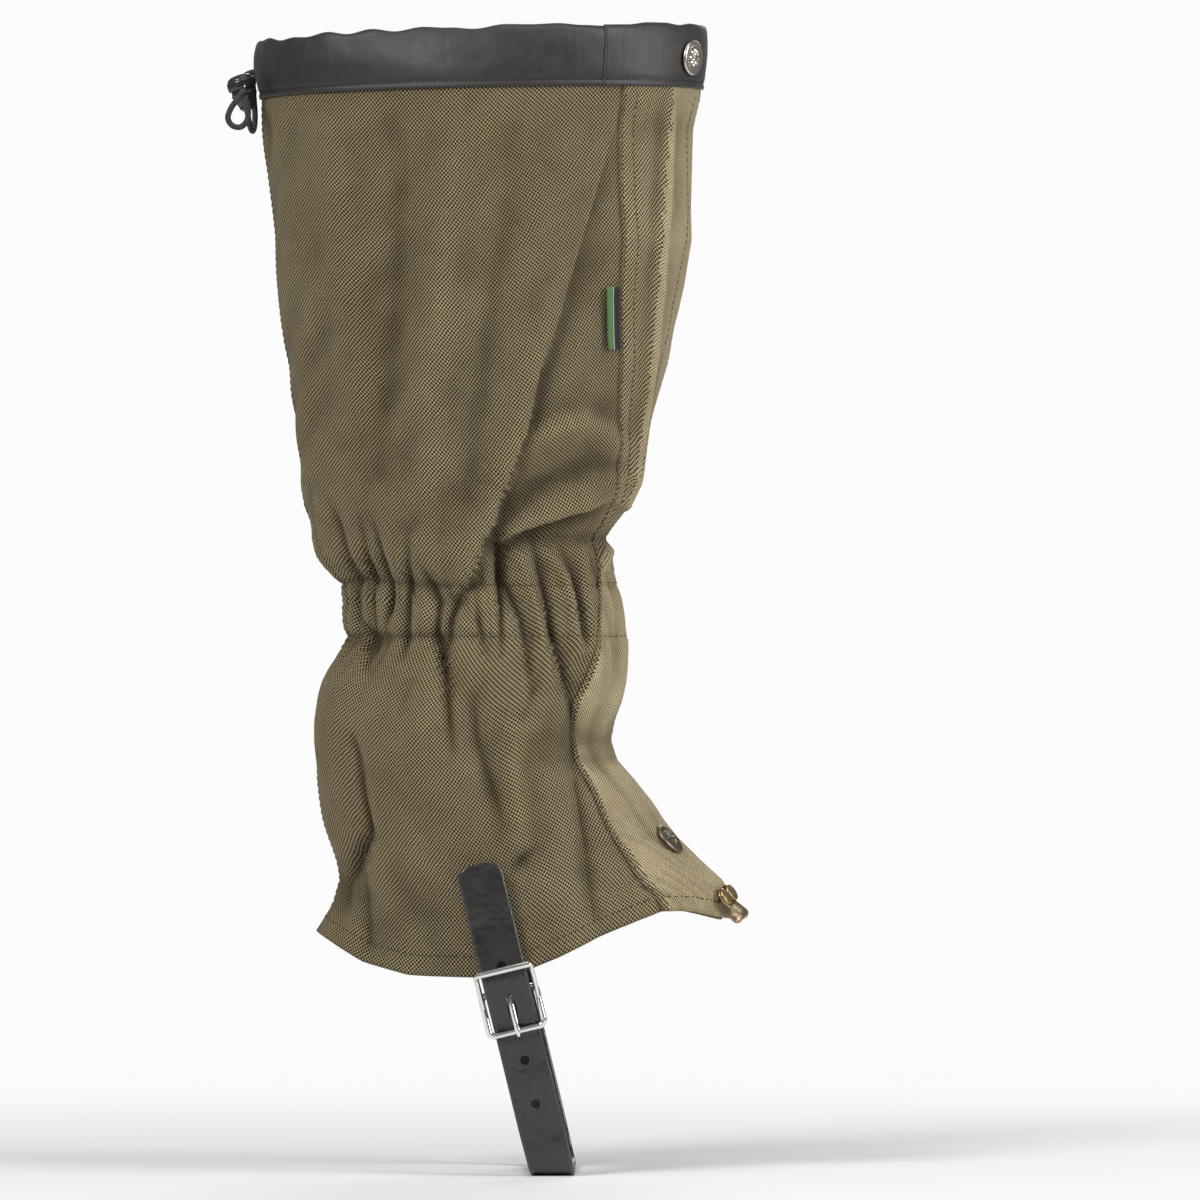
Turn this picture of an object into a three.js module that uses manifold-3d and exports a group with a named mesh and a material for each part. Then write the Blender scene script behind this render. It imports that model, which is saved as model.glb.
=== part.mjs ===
// Leg gaiter for the right leg: a tapered textile tube that wraps the calf and
// ankle, flares over the shoe, opens down the front under a hook-and-loop flap
// and is held down by an instep strap with a tongue buckle.
//
// Frame (millimetres): +X points to the toes, +Y to the inner (medial) side,
// +Z up.  The outer (lateral) side with the buckle is -Y.  The origin is the
// middle of the instep strap's upper face, where the shoe's sole rests.
import * as THREE from 'three';
import { mergeVertices } from 'three/addons/utils/BufferGeometryUtils.js';
import Module from 'manifold-3d';

const wasm = await Module();
wasm.setup();

// ---------------------------------------------------------------- dimensions
// Calf and ankle: height, rear x, front x, half width.
const UPPER = [
  [504.0, -129.0, 67.0, 64.0],
  [490.0, -129.0, 67.0, 64.5],
  [470.0, -127.8, 65.0, 65.0],
  [455.0, -127.4, 61.2, 65.0],
  [433.0, -125.4, 60.6, 64.5],
  [407.0, -122.0, 60.2, 63.5],
  [381.0, -119.2, 54.6, 61.5],
  [354.0, -115.2, 49.6, 59.0],
  [328.0, -112.2, 43.2, 56.5],
  [304.0, -108.9, 38.6, 53.5],
  [290.0, -107.4, 32.0, 51.0],
  [276.0, -103.6, 23.5, 48.0],
  [262.0, -97.5, 27.0, 45.5],
  [248.0, -91.5, 31.0, 44.5],
  [231.0, -92.0, 34.0, 46.0],
];
const Z_GATHER = 231.0;            // lower edge of the ankle gather
const H_HEM = 100.0;               // nominal height number of the hem
// Instep part below the gather: profile of the front ridge and of the heel line.
const FRONT_LINE = [[34.0, 231.0], [34.0, 222.0], [33.0, 213.0], [31.0, 204.6], [27.7, 195.8], [25.8, 187.0],
  [28.5, 178.2], [36.0, 169.4], [42.7, 160.6], [48.0, 151.8], [54.5, 143.0], [64.0, 134.2], [73.8, 125.4], [79.8, 116.5], [80.5, 108.7]];
const HEEL_LINE = [[-92.0, 231.0], [-96.4, 222.2], [-101.5, 213.4], [-104.0, 204.6], [-105.8, 195.8], [-105.8, 187.0],
  [-105.2, 178.2], [-104.2, 169.4], [-102.2, 160.6], [-99.9, 151.8], [-97.4, 143.0], [-95.2, 134.2], [-94.3, 125.4],
  [-97.0, 116.6], [-101.8, 107.8], [-104.3, 103.4]];
const HEM_LINE = [[-104.3, 103.4], [-93.3, 96.8], [-82.3, 90.6], [-62.5, 85.2], [-33.9, 84.4], [-9.7, 88.0],
  [3.5, 93.6], [21.1, 102.3], [38.7, 109.4], [49.3, 113.2], [60.7, 112.9], [80.5, 108.7]];
const INSTEP_HALF_WIDTH = [[231, 46], [205, 49.5], [180, 50.5], [150, 50.6], [125, 50.8], [100, 51.2]];
// Lateral seam between the side panel and the front panel, as (x, z).
const SEAM_UPPER = [[31.2, 503], [30.8, 470], [30.2, 420], [30.0, 380], [29.6, 340], [28.6, 305], [21.5, 281]];
const SEAM_LOWER = [[11.4, 204.6], [11.4, 187], [13.4, 177], [23.6, 153.6], [37.2, 127.0], [48.6, 114.0]];

const CLOTH = 1.2;                 // shell cloth thickness
const GAP = 0.3;                   // clearance between separate pieces
const FREE_EDGE = -3;              // degrees, free edge of the front flap
const UNDERLAP = -5.6;             // how far the underlap lies inside the flap
const BAND_LOW = [469.5, 473.6];   // lower edge of the top band, back and front
const BAND_HIGH = [493.5, 501.0];  // upper edge of the top band, back and front
const FLAP_UP_LOW = 284, FLAP_UP_HIGH = 468.5;
const FLAP_LO_HIGH = 187;
const TAPE_WIDTH = 18;             // hook and loop tapes
const ELASTIC = [234, 255];        // ankle elastic, lower and upper edge
const LABEL = { x0: 22.9, x1: 30.0, z0: 357.7, z1: 385 };

const SNAP_TOP = { x: 59.6, z: 486, cap: 15.4 };
const SNAP_LOW = { x: 51.2, z: 143.5, cap: 15.4 };
const SNAP_HOLE = 5.0;

const STRAP_TILT = 13.6 * Math.PI / 180;  // side view, strap rises towards the heel
const STRAP_W = 20, STRAP_T = 2.4, STRAP_TIP = 137.6;
const HOLE_D = 4.4, STRAP_HOLES = [30.0, 49.6, 92.4];
const RIVET_H = 108;               // swing axis of the stirrup, along the strap
const BAR_H = 81, TIP_BAR_H = 62.9, BAR_R = 1.4, BUCKLE_Y = -50.3, BUCKLE_HALF = 12.2;
const KEEPER_H = 90.2, TIP_START = 95.5; // the tip lifts from here
const PRONG_HOLE_H = 73.2;

const LOCK = { x: -132.8, y: -15, z: 463.8, tilt: -18 * Math.PI / 180, r0: 3.4, r1: 6.2, body: 9.6 };
const LOCK_TRAVEL = 2.0;           // how far the button presses in
const CORD_D = 2.1;

const COLOR = { shell: 0x6b6049, band: 0x433f3d, strap: 0x3f3b38, steel: 0xcbc3bf, snap: 0xb4a79c, brass: 0xa4794a,
  black: 0x2a2725, green: 0x567a4c, tape: 0x4a4436, elastic: 0x35322f };

// ---------------------------------------------------------------- small maths
const V = (x, y, z) => new THREE.Vector3(x, y, z);
const lerp = (a, b, t) => a + (b - a) * t;
const clamp01 = t => Math.min(1, Math.max(0, t));
const smooth = t => { const c = clamp01(t); return c * c * (3 - 2 * c); };
const rad = d => d * Math.PI / 180;
function table(rows, key, col) {                 // rows sorted by descending or ascending key column 0
  const up = rows[0][0] < rows[rows.length - 1][0];
  for (let i = 0; i + 1 < rows.length; i++) {
    const a = rows[i], b = rows[i + 1];
    if (up ? key <= b[0] : key >= b[0]) return lerp(a[col], b[col], clamp01((key - a[0]) / (b[0] - a[0])));
  }
  return rows[rows.length - 1][col];
}
function along(points, t) {                      // point at share t of a polyline's length
  const d = [0];
  for (let i = 1; i < points.length; i++) d.push(d[i - 1] + Math.hypot(points[i][0] - points[i - 1][0], points[i][1] - points[i - 1][1]));
  const s = clamp01(t) * d[d.length - 1];
  for (let i = 1; i < points.length; i++) if (s <= d[i] + 1e-9) {
    const k = (s - d[i - 1]) / (d[i] - d[i - 1]);
    return [lerp(points[i - 1][0], points[i][0], k), lerp(points[i - 1][1], points[i][1], k)];
  }
  return points[points.length - 1];
}

// ---------------------------------------------------------------- the wrap's outer surface
// theta 0 is the front, 90 the lateral side, 180 the back; h is a height number,
// true height above the gather and a row number between gather and hem below it.
function row(h) {
  if (h >= Z_GATHER) {
    return { xb: table(UPPER, h, 1), zb: h, xf: table(UPPER, h, 2), zf: h, b: table(UPPER, h, 3), t: 0 };
  }
  const t = (Z_GATHER - h) / (Z_GATHER - H_HEM);
  const f = along(FRONT_LINE, t), r = along(HEEL_LINE, t);
  return { xb: r[0], zb: r[1], xf: f[0], zf: f[1], b: table(INSTEP_HALF_WIDTH, h, 1), t };
}
function surf(theta, h) {
  const r = row(h), c = Math.cos(rad(theta)), s = Math.sin(rad(theta)), k = (1 + c) / 2;
  const x = lerp(r.xb, r.xf, k);
  let z = lerp(r.zb, r.zf, k);
  if (r.t > 0) {
    const hx = lerp(HEM_LINE[0][0], HEM_LINE[HEM_LINE.length - 1][0], k);
    const dip = table(HEM_LINE, hx, 1) - lerp(HEM_LINE[0][1], HEM_LINE[HEM_LINE.length - 1][1], k);
    z += dip * Math.pow(r.t, 1.5);
  }
  return V(x, -r.b * s, z);
}
function normal(theta, h) {
  const e = 0.6, f = 1.0;
  const a = surf(theta + e, h).sub(surf(theta - e, h));
  const b = surf(theta, h + f).sub(surf(theta, h - f));
  return b.cross(a).normalize();
}
function onShell(theta, h, out) { return surf(theta, h).addScaledVector(normal(theta, h), out); }
function find(x, z) {                            // (theta, h) of a lateral point seen from the side
  let h = z, theta = 30;
  for (let i = 0; i < 60; i++) {
    const r = row(h);
    theta = Math.acos(Math.min(1, Math.max(-1, 2 * (x - r.xb) / (r.xf - r.xb) - 1))) * 180 / Math.PI;
    h += 0.7 * (z - surf(theta, h).z);
  }
  return [h, theta];
}
const SEAM = [...SEAM_UPPER.map(p => find(p[0], p[1])), [262, 26], [240, 37], [222, 42], ...SEAM_LOWER.map(p => find(p[0], p[1]))];
SEAM[SEAM.length - 1][0] = H_HEM;
const seamAt = h => table(SEAM, h, 1);

// ---------------------------------------------------------------- solids
function orient(g) {
  const p = g.attributes.position, ix = g.index.array;
  let v = 0; const a = V(), b = V(), c = V();
  for (let i = 0; i < ix.length; i += 3) {
    a.fromBufferAttribute(p, ix[i]); b.fromBufferAttribute(p, ix[i + 1]); c.fromBufferAttribute(p, ix[i + 2]);
    v += a.dot(b.clone().cross(c));
  }
  if (v < 0) for (let i = 0; i < ix.length; i += 3) { const t = ix[i + 1]; ix[i + 1] = ix[i + 2]; ix[i + 2] = t; }
  return g;
}
function loft(rings, outline, closed = false) {  // rings of the same closed outline, capped at both ends
  const m = outline.length, pos = [], ix = [];
  for (const r of rings) for (const p of r) pos.push(p.x, p.y, p.z);
  const n = rings.length;
  for (let i = 0; i < (closed ? n : n - 1); i++) {
    const q = ((i + 1) % n) * m;
    for (let j = 0; j < m; j++) {
      const a = i * m + j, b = i * m + (j + 1) % m, c = q + j, d = q + (j + 1) % m;
      ix.push(a, b, d, a, d, c);
    }
  }
  if (!closed) {
    const tri = THREE.ShapeUtils.triangulateShape(outline.map(o => new THREE.Vector2(o[0], o[1])), []);
    const cw = THREE.ShapeUtils.area(outline.map(o => new THREE.Vector2(o[0], o[1]))) < 0;
    const e = (n - 1) * m;
    for (const t of tri) {
      if (cw) { ix.push(t[0], t[1], t[2]); ix.push(e + t[2], e + t[1], e + t[0]); }
      else { ix.push(t[2], t[1], t[0]); ix.push(e + t[0], e + t[1], e + t[2]); }
    }
  }
  const g = new THREE.BufferGeometry();
  g.setAttribute('position', new THREE.Float32BufferAttribute(pos, 3));
  g.setIndex(ix);
  return orient(g);
}
// Cloth between two height numbers and two angles; angles and offsets may vary.
function cloth({ h0, h1, rows, cols, from, to, out = () => 0, thick = CLOTH }) {
  const pos = [], ix = [], nr = rows + 1, nc = cols + 1, id = (side, i, j) => (side * nc + i) * nr + j;
  for (const side of [0, 1]) for (let i = 0; i <= cols; i++) for (let j = 0; j <= rows; j++) {
    const h = lerp(h0, h1, j / rows), th = lerp(from(h), to(h), i / cols);
    const p = onShell(th, h, out(th, h) - side * thick);
    pos.push(p.x, p.y, p.z);
  }
  const quad = (a, b, c, d) => ix.push(a, b, c, a, c, d);
  for (let i = 0; i < cols; i++) for (let j = 0; j < rows; j++) {
    quad(id(0, i, j), id(0, i + 1, j), id(0, i + 1, j + 1), id(0, i, j + 1));
    quad(id(1, i, j), id(1, i, j + 1), id(1, i + 1, j + 1), id(1, i + 1, j));
  }
  for (let i = 0; i < cols; i++) {
    quad(id(0, i, 0), id(1, i, 0), id(1, i + 1, 0), id(0, i + 1, 0));
    quad(id(0, i, rows), id(0, i + 1, rows), id(1, i + 1, rows), id(1, i, rows));
  }
  for (let j = 0; j < rows; j++) {
    quad(id(0, 0, j), id(0, 0, j + 1), id(1, 0, j + 1), id(1, 0, j));
    quad(id(0, cols, j), id(1, cols, j), id(1, cols, j + 1), id(0, cols, j + 1));
  }
  const g = new THREE.BufferGeometry();
  g.setAttribute('position', new THREE.Float32BufferAttribute(pos, 3));
  g.setIndex(ix);
  return orient(g);
}
function tube(points, d, sides = 8, step = 2.4) {
  const curve = new THREE.CatmullRomCurve3(points, false, 'centripetal');
  const s = new THREE.Shape();
  for (let i = 0; i < sides; i++) {
    const a = i / sides * 2 * Math.PI;
    i ? s.lineTo(Math.cos(a) * d / 2, Math.sin(a) * d / 2) : s.moveTo(d / 2, 0);
  }
  s.closePath();
  return new THREE.ExtrudeGeometry(s, { steps: Math.max(2, Math.round(curve.getLength() / (step * d))), extrudePath: curve, bevelEnabled: false });
}
function lathe(profile, segments = 20) {
  return new THREE.LatheGeometry(profile.map(p => new THREE.Vector2(p[0], p[1])), segments);
}
function solid(g) {
  let q = g.clone();
  for (const k of Object.keys(q.attributes)) if (k !== 'position') q.deleteAttribute(k);
  q = orient(mergeVertices(q, 1e-3));
  const tri = [];
  const ix = q.index.array;
  for (let i = 0; i < ix.length; i += 3) if (ix[i] !== ix[i + 1] && ix[i + 1] !== ix[i + 2] && ix[i] !== ix[i + 2]) tri.push(ix[i], ix[i + 1], ix[i + 2]);
  return new wasm.Manifold(new wasm.Mesh({ numProp: 3, vertProperties: new Float32Array(q.attributes.position.array), triVerts: new Uint32Array(tri) }));
}
function back(m) {
  const r = m.getMesh(), g = new THREE.BufferGeometry();
  g.setAttribute('position', new THREE.Float32BufferAttribute(r.vertProperties, 3));
  g.setIndex([...r.triVerts]);
  return g;
}
const cut = (g, ...tools) => back(tools.reduce((m, t) => m.subtract(solid(t)), solid(g)));
const join = (g, ...more) => back(more.reduce((m, t) => m.add(solid(t)), solid(g)));
function place(g, p, z, x = null) {              // puts a shape's +Y axis on z (and its +X near x)
  const up = z.clone().normalize();
  let xx = x ? x.clone() : (Math.abs(up.z) < 0.9 ? V(0, 0, 1).cross(up) : V(1, 0, 0));
  xx.addScaledVector(up, -xx.dot(up)).normalize();
  const m = new THREE.Matrix4().makeBasis(xx, up, xx.clone().cross(up));
  m.setPosition(p);
  return g.clone().applyMatrix4(m);
}
const rod = (p, dir, r, a, b, seg = 12) => place(new THREE.CylinderGeometry(r, r, b - a, seg).translate(0, (a + b) / 2, 0), p, dir);
const box = (w, d, t, x, y, z) => new THREE.BoxGeometry(w, d, t).translate(x, y, z);

// ---------------------------------------------------------------- assembly
const gaiter = new THREE.Group();
function add(name, geometry, color, rough, metal = 0) {
  const g = geometry.clone();
  for (const k of Object.keys(g.attributes)) if (k !== 'position') g.deleteAttribute(k);
  const closedBody = orient(mergeVertices(g, 1e-3));
  const m = new THREE.Mesh(closedBody, new THREE.MeshStandardMaterial({ color, roughness: rough, metalness: metal }));
  m.name = name;
  gaiter.add(m);
  return m;
}

// Hinge lines of the two flap parts.  Each is the cut of the shell with a plane
// that holds a straight chord and the outward normal at its middle.
function hinge(tA, hA, tB, hB) {
  const A = surf(tA, hA), B = surf(tB, hB), along_ = B.clone().sub(A).normalize();
  let n = normal((tA + tB) / 2, (hA + hB) / 2);
  n.addScaledVector(along_, -n.dot(along_)).normalize();
  const m = along_.clone().cross(n);
  const at = h => {
    let lo = -20, hi = 80;
    const f = th => surf(th, h).sub(A).dot(m);
    const s = Math.sign(f(lo));
    for (let i = 0; i < 40; i++) { const mid = (lo + hi) / 2; if (Math.sign(f(mid)) === s) lo = mid; else hi = mid; }
    return (lo + hi) / 2;
  };
  let bulge = 0;
  for (let i = 0; i <= 20; i++) { const h = lerp(hA, hB, i / 20); bulge = Math.max(bulge, surf(at(h), h).sub(A).dot(n)); }
  return { A: A.addScaledVector(n, bulge + 2.6), B: B.addScaledVector(n, bulge + 2.6), at, n, dir: along_, bulge };
}
export const upperHinge = hinge(0, 279, seamAt(470) - 3.5, 470);
export const lowerHinge = hinge(0, 190, seamAt(H_HEM) - 3.5, H_HEM);
const E = 0.35;                                  // degrees, half of the slit between hinged pieces
const upEdge = h => upperHinge.at(Math.min(470, h));
const loEdge = h => lowerHinge.at(Math.max(H_HEM, h));

// How far inside the outer surface the inner panel lies: 0 on the medial side,
// under the flap by the underlap distance, and a little more under the band.
function innerOut(th, h) {
  const under = smooth((th + 52) / 40);
  const deep = lerp(UNDERLAP, -8.0, smooth((h - 446) / 18));
  return under * deep;
}
const strapPoint = (y, h) => V(-Math.sin(STRAP_TILT) * h, y, Math.cos(STRAP_TILT) * h);
const rivetAxis = strapPoint(0, RIVET_H);
const rivetHole = side => rod(V(rivetAxis.x, 0, rivetAxis.z), V(0, side, 0), 2.3, 35, 70);

// side panels, joined by the seam down the back of the leg
add('outer_side_panel', cut(cloth({ h0: H_HEM, h1: 478, rows: 24, cols: 12, from: h => seamAt(h) + 3.2 * E, to: () => 180 - 0.2 }), rivetHole(-1)), COLOR.shell, 0.95);
const topSnap = find(SNAP_TOP.x, SNAP_TOP.z), lowSnap = find(SNAP_LOW.x, SNAP_LOW.z);
const snapAt = (s, out) => ({ p: onShell(s[1], s[0], out), n: normal(s[1], s[0]) });
const lowHole = rod(snapAt(lowSnap, 0).p, snapAt(lowSnap, 0).n, SNAP_HOLE / 2, -14, 6);
const topHole = rod(snapAt(topSnap, 0).p, snapAt(topSnap, 0).n, SNAP_HOLE / 2, -9.2, 6);
const underEnd = h => Math.max(h > 262 ? upEdge(Math.min(h, 470)) : (h < 205 ? loEdge(h) : 12), 12) + 5;
add('inner_side_panel', cut(cloth({ h0: H_HEM, h1: 478, rows: 22, cols: 18, from: () => -180 + 0.2, to: h => underEnd(h), out: innerOut }), rivetHole(1), lowHole), COLOR.shell, 0.95);
// fixed part of the front panel, between the lateral seam and the flaps
const frontEnd = h => h > FLAP_UP_LOW - 4 ? upEdge(h) + E : (h < FLAP_LO_HIGH + 3 ? loEdge(h) + E : FREE_EDGE);
const blendEnd = h => {                          // keeps the edge in steps no sharper than the slit
  if (h > 278 && h < FLAP_UP_LOW) return lerp(FREE_EDGE, upEdge(FLAP_UP_LOW) + E, (h - 278) / (FLAP_UP_LOW - 278));
  if (h < 193 && h > FLAP_LO_HIGH) return lerp(FREE_EDGE, loEdge(FLAP_LO_HIGH) + E, (193 - h) / (193 - FLAP_LO_HIGH));
  return h >= FLAP_UP_LOW ? upEdge(h) + E : h <= FLAP_LO_HIGH ? loEdge(h) + E : FREE_EDGE;
};
add('front_panel', cloth({ h0: H_HEM, h1: FLAP_UP_HIGH, rows: 32, cols: 4, from: h => blendEnd(h), to: h => seamAt(h) - E }), COLOR.shell, 0.95);

// top band: a folded channel with the drawcord inside it
const bandLow = th => lerp(BAND_LOW[0], BAND_LOW[1], (1 + Math.cos(rad(th))) / 2);
const bandHigh = th => lerp(BAND_HIGH[0], BAND_HIGH[1], (1 + Math.cos(rad(th))) / 2);
const CHANNEL = [[2.2, 0], [2.5, 0.5], [2.2, 0.92], [1.2, 1.0], [-2.2, 1.0], [-3.2, 0.92], [-3.5, 0.5], [-3.2, 0], [-2.2, 0], [-2.4, 0.5], [-2.2, 0.92], [1.2, 0.92], [1.4, 0.5], [1.2, 0]];
const bandStart = seamAt(480) + E;
const EXIT_Y = [4.4, 11.2], EXIT_Z = 481.2;
const backX = y => surf(180, EXIT_Z).x + (surf(180 + Math.asin(y / 65) * 180 / Math.PI, EXIT_Z).x - surf(180, EXIT_Z).x);
const exitCuts = EXIT_Y.map(y => rod(V(backX(y) + 0.6, y, EXIT_Z), V(-1, 0, 0), 1.7, -0.3, 8));
// one strip, from the lateral seam round the back and under the flap
const wholeBand = (() => {
  const rings = [];
  const cols = 30, profile = CHANNEL;
  for (let i = 0; i <= cols; i++) {
    const th = lerp(bandStart, 328, i / cols), t2 = th > 180 ? th - 360 : th;
    const lo = bandLow(th), hi = bandHigh(th);
    const extra = th > 180 ? innerOut(t2, 470) : 0;
    rings.push(profile.map(([o, v]) => onShell(th, lerp(lo, hi, v), o + extra)));
  }
  for (let i = 1; i <= 8; i++) {
    const th = lerp(-32, 30, i / 8), lo = bandLow(th), hi = bandHigh(th);
    rings.push(profile.map(([o, v]) => onShell(th, lerp(lo, hi, v), o + innerOut(th, 470))));
  }
  return loft(rings, profile.map(([o, v]) => [v * 29, o]));
})();
add('top_band', cut(wholeBand, ...exitCuts, rod(snapAt(topSnap, 0).p, snapAt(topSnap, 0).n, SNAP_HOLE / 2, -6.2, 0)), COLOR.band, 0.55);

// drawcord inside the channel, above the panels' top edge: one run from each
// end of the band to the two exits at the back
const exitTheta = EXIT_Y.map(y => 180 + Math.asin(y / 64.8) * 180 / Math.PI);
for (const [name, t0, t1] of [['drawcord_outer_run', bandStart + 4, exitTheta[0] - 2.8], ['drawcord_inner_run', exitTheta[1] + 2.8, 348]]) {
  const pts = [], n = 15;
  for (let i = 0; i <= n; i++) {
    const th = lerp(t0, t1, i / n), t2 = th > 180 ? th - 360 : th;
    pts.push(onShell(th, lerp(bandLow(th) + 12, EXIT_Z, smooth(1 - Math.abs(th - 185) / 60)), -0.5 + (th > 180 ? innerOut(t2, 470) : 0)));
  }
  add(name, tube(pts, CORD_D, 6, 5), COLOR.black, 0.9);
}

// ankle elastic and hem facing, sewn to the inside
add('ankle_elastic', cloth({ h0: ELASTIC[0], h1: ELASTIC[1], rows: 2, cols: 24, from: () => 62, to: () => 300, out: () => -CLOTH - 1.0, thick: 1.0 }), COLOR.elastic, 0.9);
add('hem_facing_outer', cloth({ h0: H_HEM + 0.5, h1: 111, rows: 1, cols: 14, from: h => seamAt(h) + 2, to: () => 179, out: () => -CLOTH - 0.6, thick: 0.8 }), COLOR.shell, 0.95);
add('hem_facing_inner', cloth({ h0: H_HEM + 0.5, h1: 111, rows: 1, cols: 14, from: () => -179, to: () => -66, out: () => -CLOTH - 0.6, thick: 0.8 }), COLOR.shell, 0.95);
// piping inside the back seam
add('back_seam_tape', cloth({ h0: 258, h1: 466, rows: 12, cols: 2, from: () => 176, to: () => 184, out: () => -CLOTH - 1.5, thick: 0.8 }), COLOR.tape, 0.95);
// side label
{
  const wide = h => 6.6;                         // degrees across the label
  add('side_label', cloth({ h0: LABEL.z0, h1: LABEL.z1, rows: 3, cols: 2, from: h => seamAt(h) + 3.2 * E, to: h => seamAt(h) + 3.2 * E + wide(h), out: () => 1.3, thick: 0.8 }), COLOR.green, 0.8);
}

// ---- upper flap
const flapUp = cloth({ h0: FLAP_UP_LOW, h1: FLAP_UP_HIGH, rows: 14, cols: 5, from: () => FREE_EDGE, to: h => upEdge(h) - E });
add('front_flap_upper', flapUp, COLOR.shell, 0.95);
{
  const rings = [], cols = 8, a = FREE_EDGE, b = seamAt(480) - E;
  const profile = [[1.0, 0], [1.0, 1], [-1.0, 1], [-1.0, 0]];
  for (let i = 0; i <= cols; i++) { const th = lerp(a, b, i / cols); rings.push(profile.map(([o, v]) => onShell(th, lerp(bandLow(th), bandHigh(th), v), o))); }
  add('flap_band', cut(loft(rings, profile.map(([o, v]) => [v * 29, o])), topHole), COLOR.band, 0.55);
}
const tapeSpan = h => TAPE_WIDTH / 66 * 180 / Math.PI;
add('hook_tape_upper', cloth({ h0: 326, h1: 460, rows: 8, cols: 3, from: h => upEdge(h) - 1.2 - tapeSpan(h), to: h => upEdge(h) - 1.2, out: () => -CLOTH - 0.7, thick: 1.1 }), COLOR.tape, 0.95);
add('loop_tape_upper', cloth({ h0: 326, h1: 460, rows: 8, cols: 3, from: h => upEdge(h) - 1.2 - tapeSpan(h), to: h => upEdge(h) - 1.2,
  out: (th, h) => UNDERLAP + 1.7, thick: 1.1 }), COLOR.tape, 0.95);

// ---- lower flap
const flapLo = cloth({ h0: H_HEM, h1: FLAP_LO_HIGH, rows: 10, cols: 5, from: () => FREE_EDGE, to: h => loEdge(h) - E });
// lace hook: two rivets through the flap's lower corner hold a brass plate whose tongue folds under
const hookTheta = 16;
const hookH = 108.4;
const hookN = normal(hookTheta, 110.0);
const hookAlong = surf(hookTheta, 107.5).sub(surf(hookTheta, 114));
const hookDown = hookAlong.addScaledVector(hookN, -hookAlong.dot(hookN)).normalize();
const hookSide = hookDown.clone().cross(hookN).normalize();
const hookRivets = [-4.3, 4.3].map(s => onShell(hookTheta, hookH, 0).addScaledVector(hookSide, s));
add('front_flap_lower', cut(flapLo, lowHole, ...hookRivets.map(p => rod(p, hookN, 1.2, -4.5, 4))), COLOR.shell, 0.95);
const loTape = h => 12 / 50 * 180 / Math.PI;
add('hook_tape_lower', cloth({ h0: 108, h1: 130, rows: 3, cols: 2, from: h => loEdge(h) - 1.5 - loTape(h), to: h => loEdge(h) - 1.5, out: () => -CLOTH - 0.7, thick: 1.1 }), COLOR.tape, 0.95);
add('loop_tape_lower', cloth({ h0: 108, h1: 130, rows: 3, cols: 2, from: h => loEdge(h) - 1.5 - loTape(h), to: h => loEdge(h) - 1.5,
  out: (th, h) => UNDERLAP + 1.7, thick: 1.1 }), COLOR.tape, 0.95);

// ---- snap fasteners: cap and socket on the flap, stud and post on the underlap
function snapSet(name, s, outer, inner, studTop, sink) {
  const { p, n } = snapAt(s, 0), R = SNAP_TOP.cap / 2;
  const at = o => p.clone().addScaledVector(n, o);
  // domed cap with its hollow post through the cloth
  const capProfile = [[0, inner - outer - 0.6], [1.9, inner - outer - 0.6], [1.9, 0.15], [R - 0.6, 0.15], [R, 0.7], [R - 0.2, 1.3], [R - 1.6, 1.9], [R - 4.2, 2.3], [0, 2.45]];
  add(name + '_cap', place(lathe(capProfile, 16), at(outer), n), COLOR.snap, 0.35, 1);
  // socket ring behind the cloth
  add(name + '_socket', place(lathe([[3.2, -1.5], [5.2, -1.5], [5.6, -1.0], [5.6, 0], [2.3, 0], [2.3, -0.5], [3.2, -0.7], [3.2, -1.5]], 12), at(inner - sink), n), COLOR.snap, 0.4, 1);
  // stud with its nub inside the socket, and the post behind the underlap
  add(name + '_stud', place(lathe([[0, 0], [5.0, 0], [5.0, 0.8], [2.6, 0.9], [2.1, 1.2], [2.1, 1.5], [1.5, 1.8], [0, 1.8]], 12), at(studTop + 0.45), n), COLOR.snap, 0.4, 1);
}
snapSet('snap_top', topSnap, 1.15, -1.0, -5.8, 0.8);
snapSet('snap_low', lowSnap, 1.0, -CLOTH, UNDERLAP + 0.5, 0.8);

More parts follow.
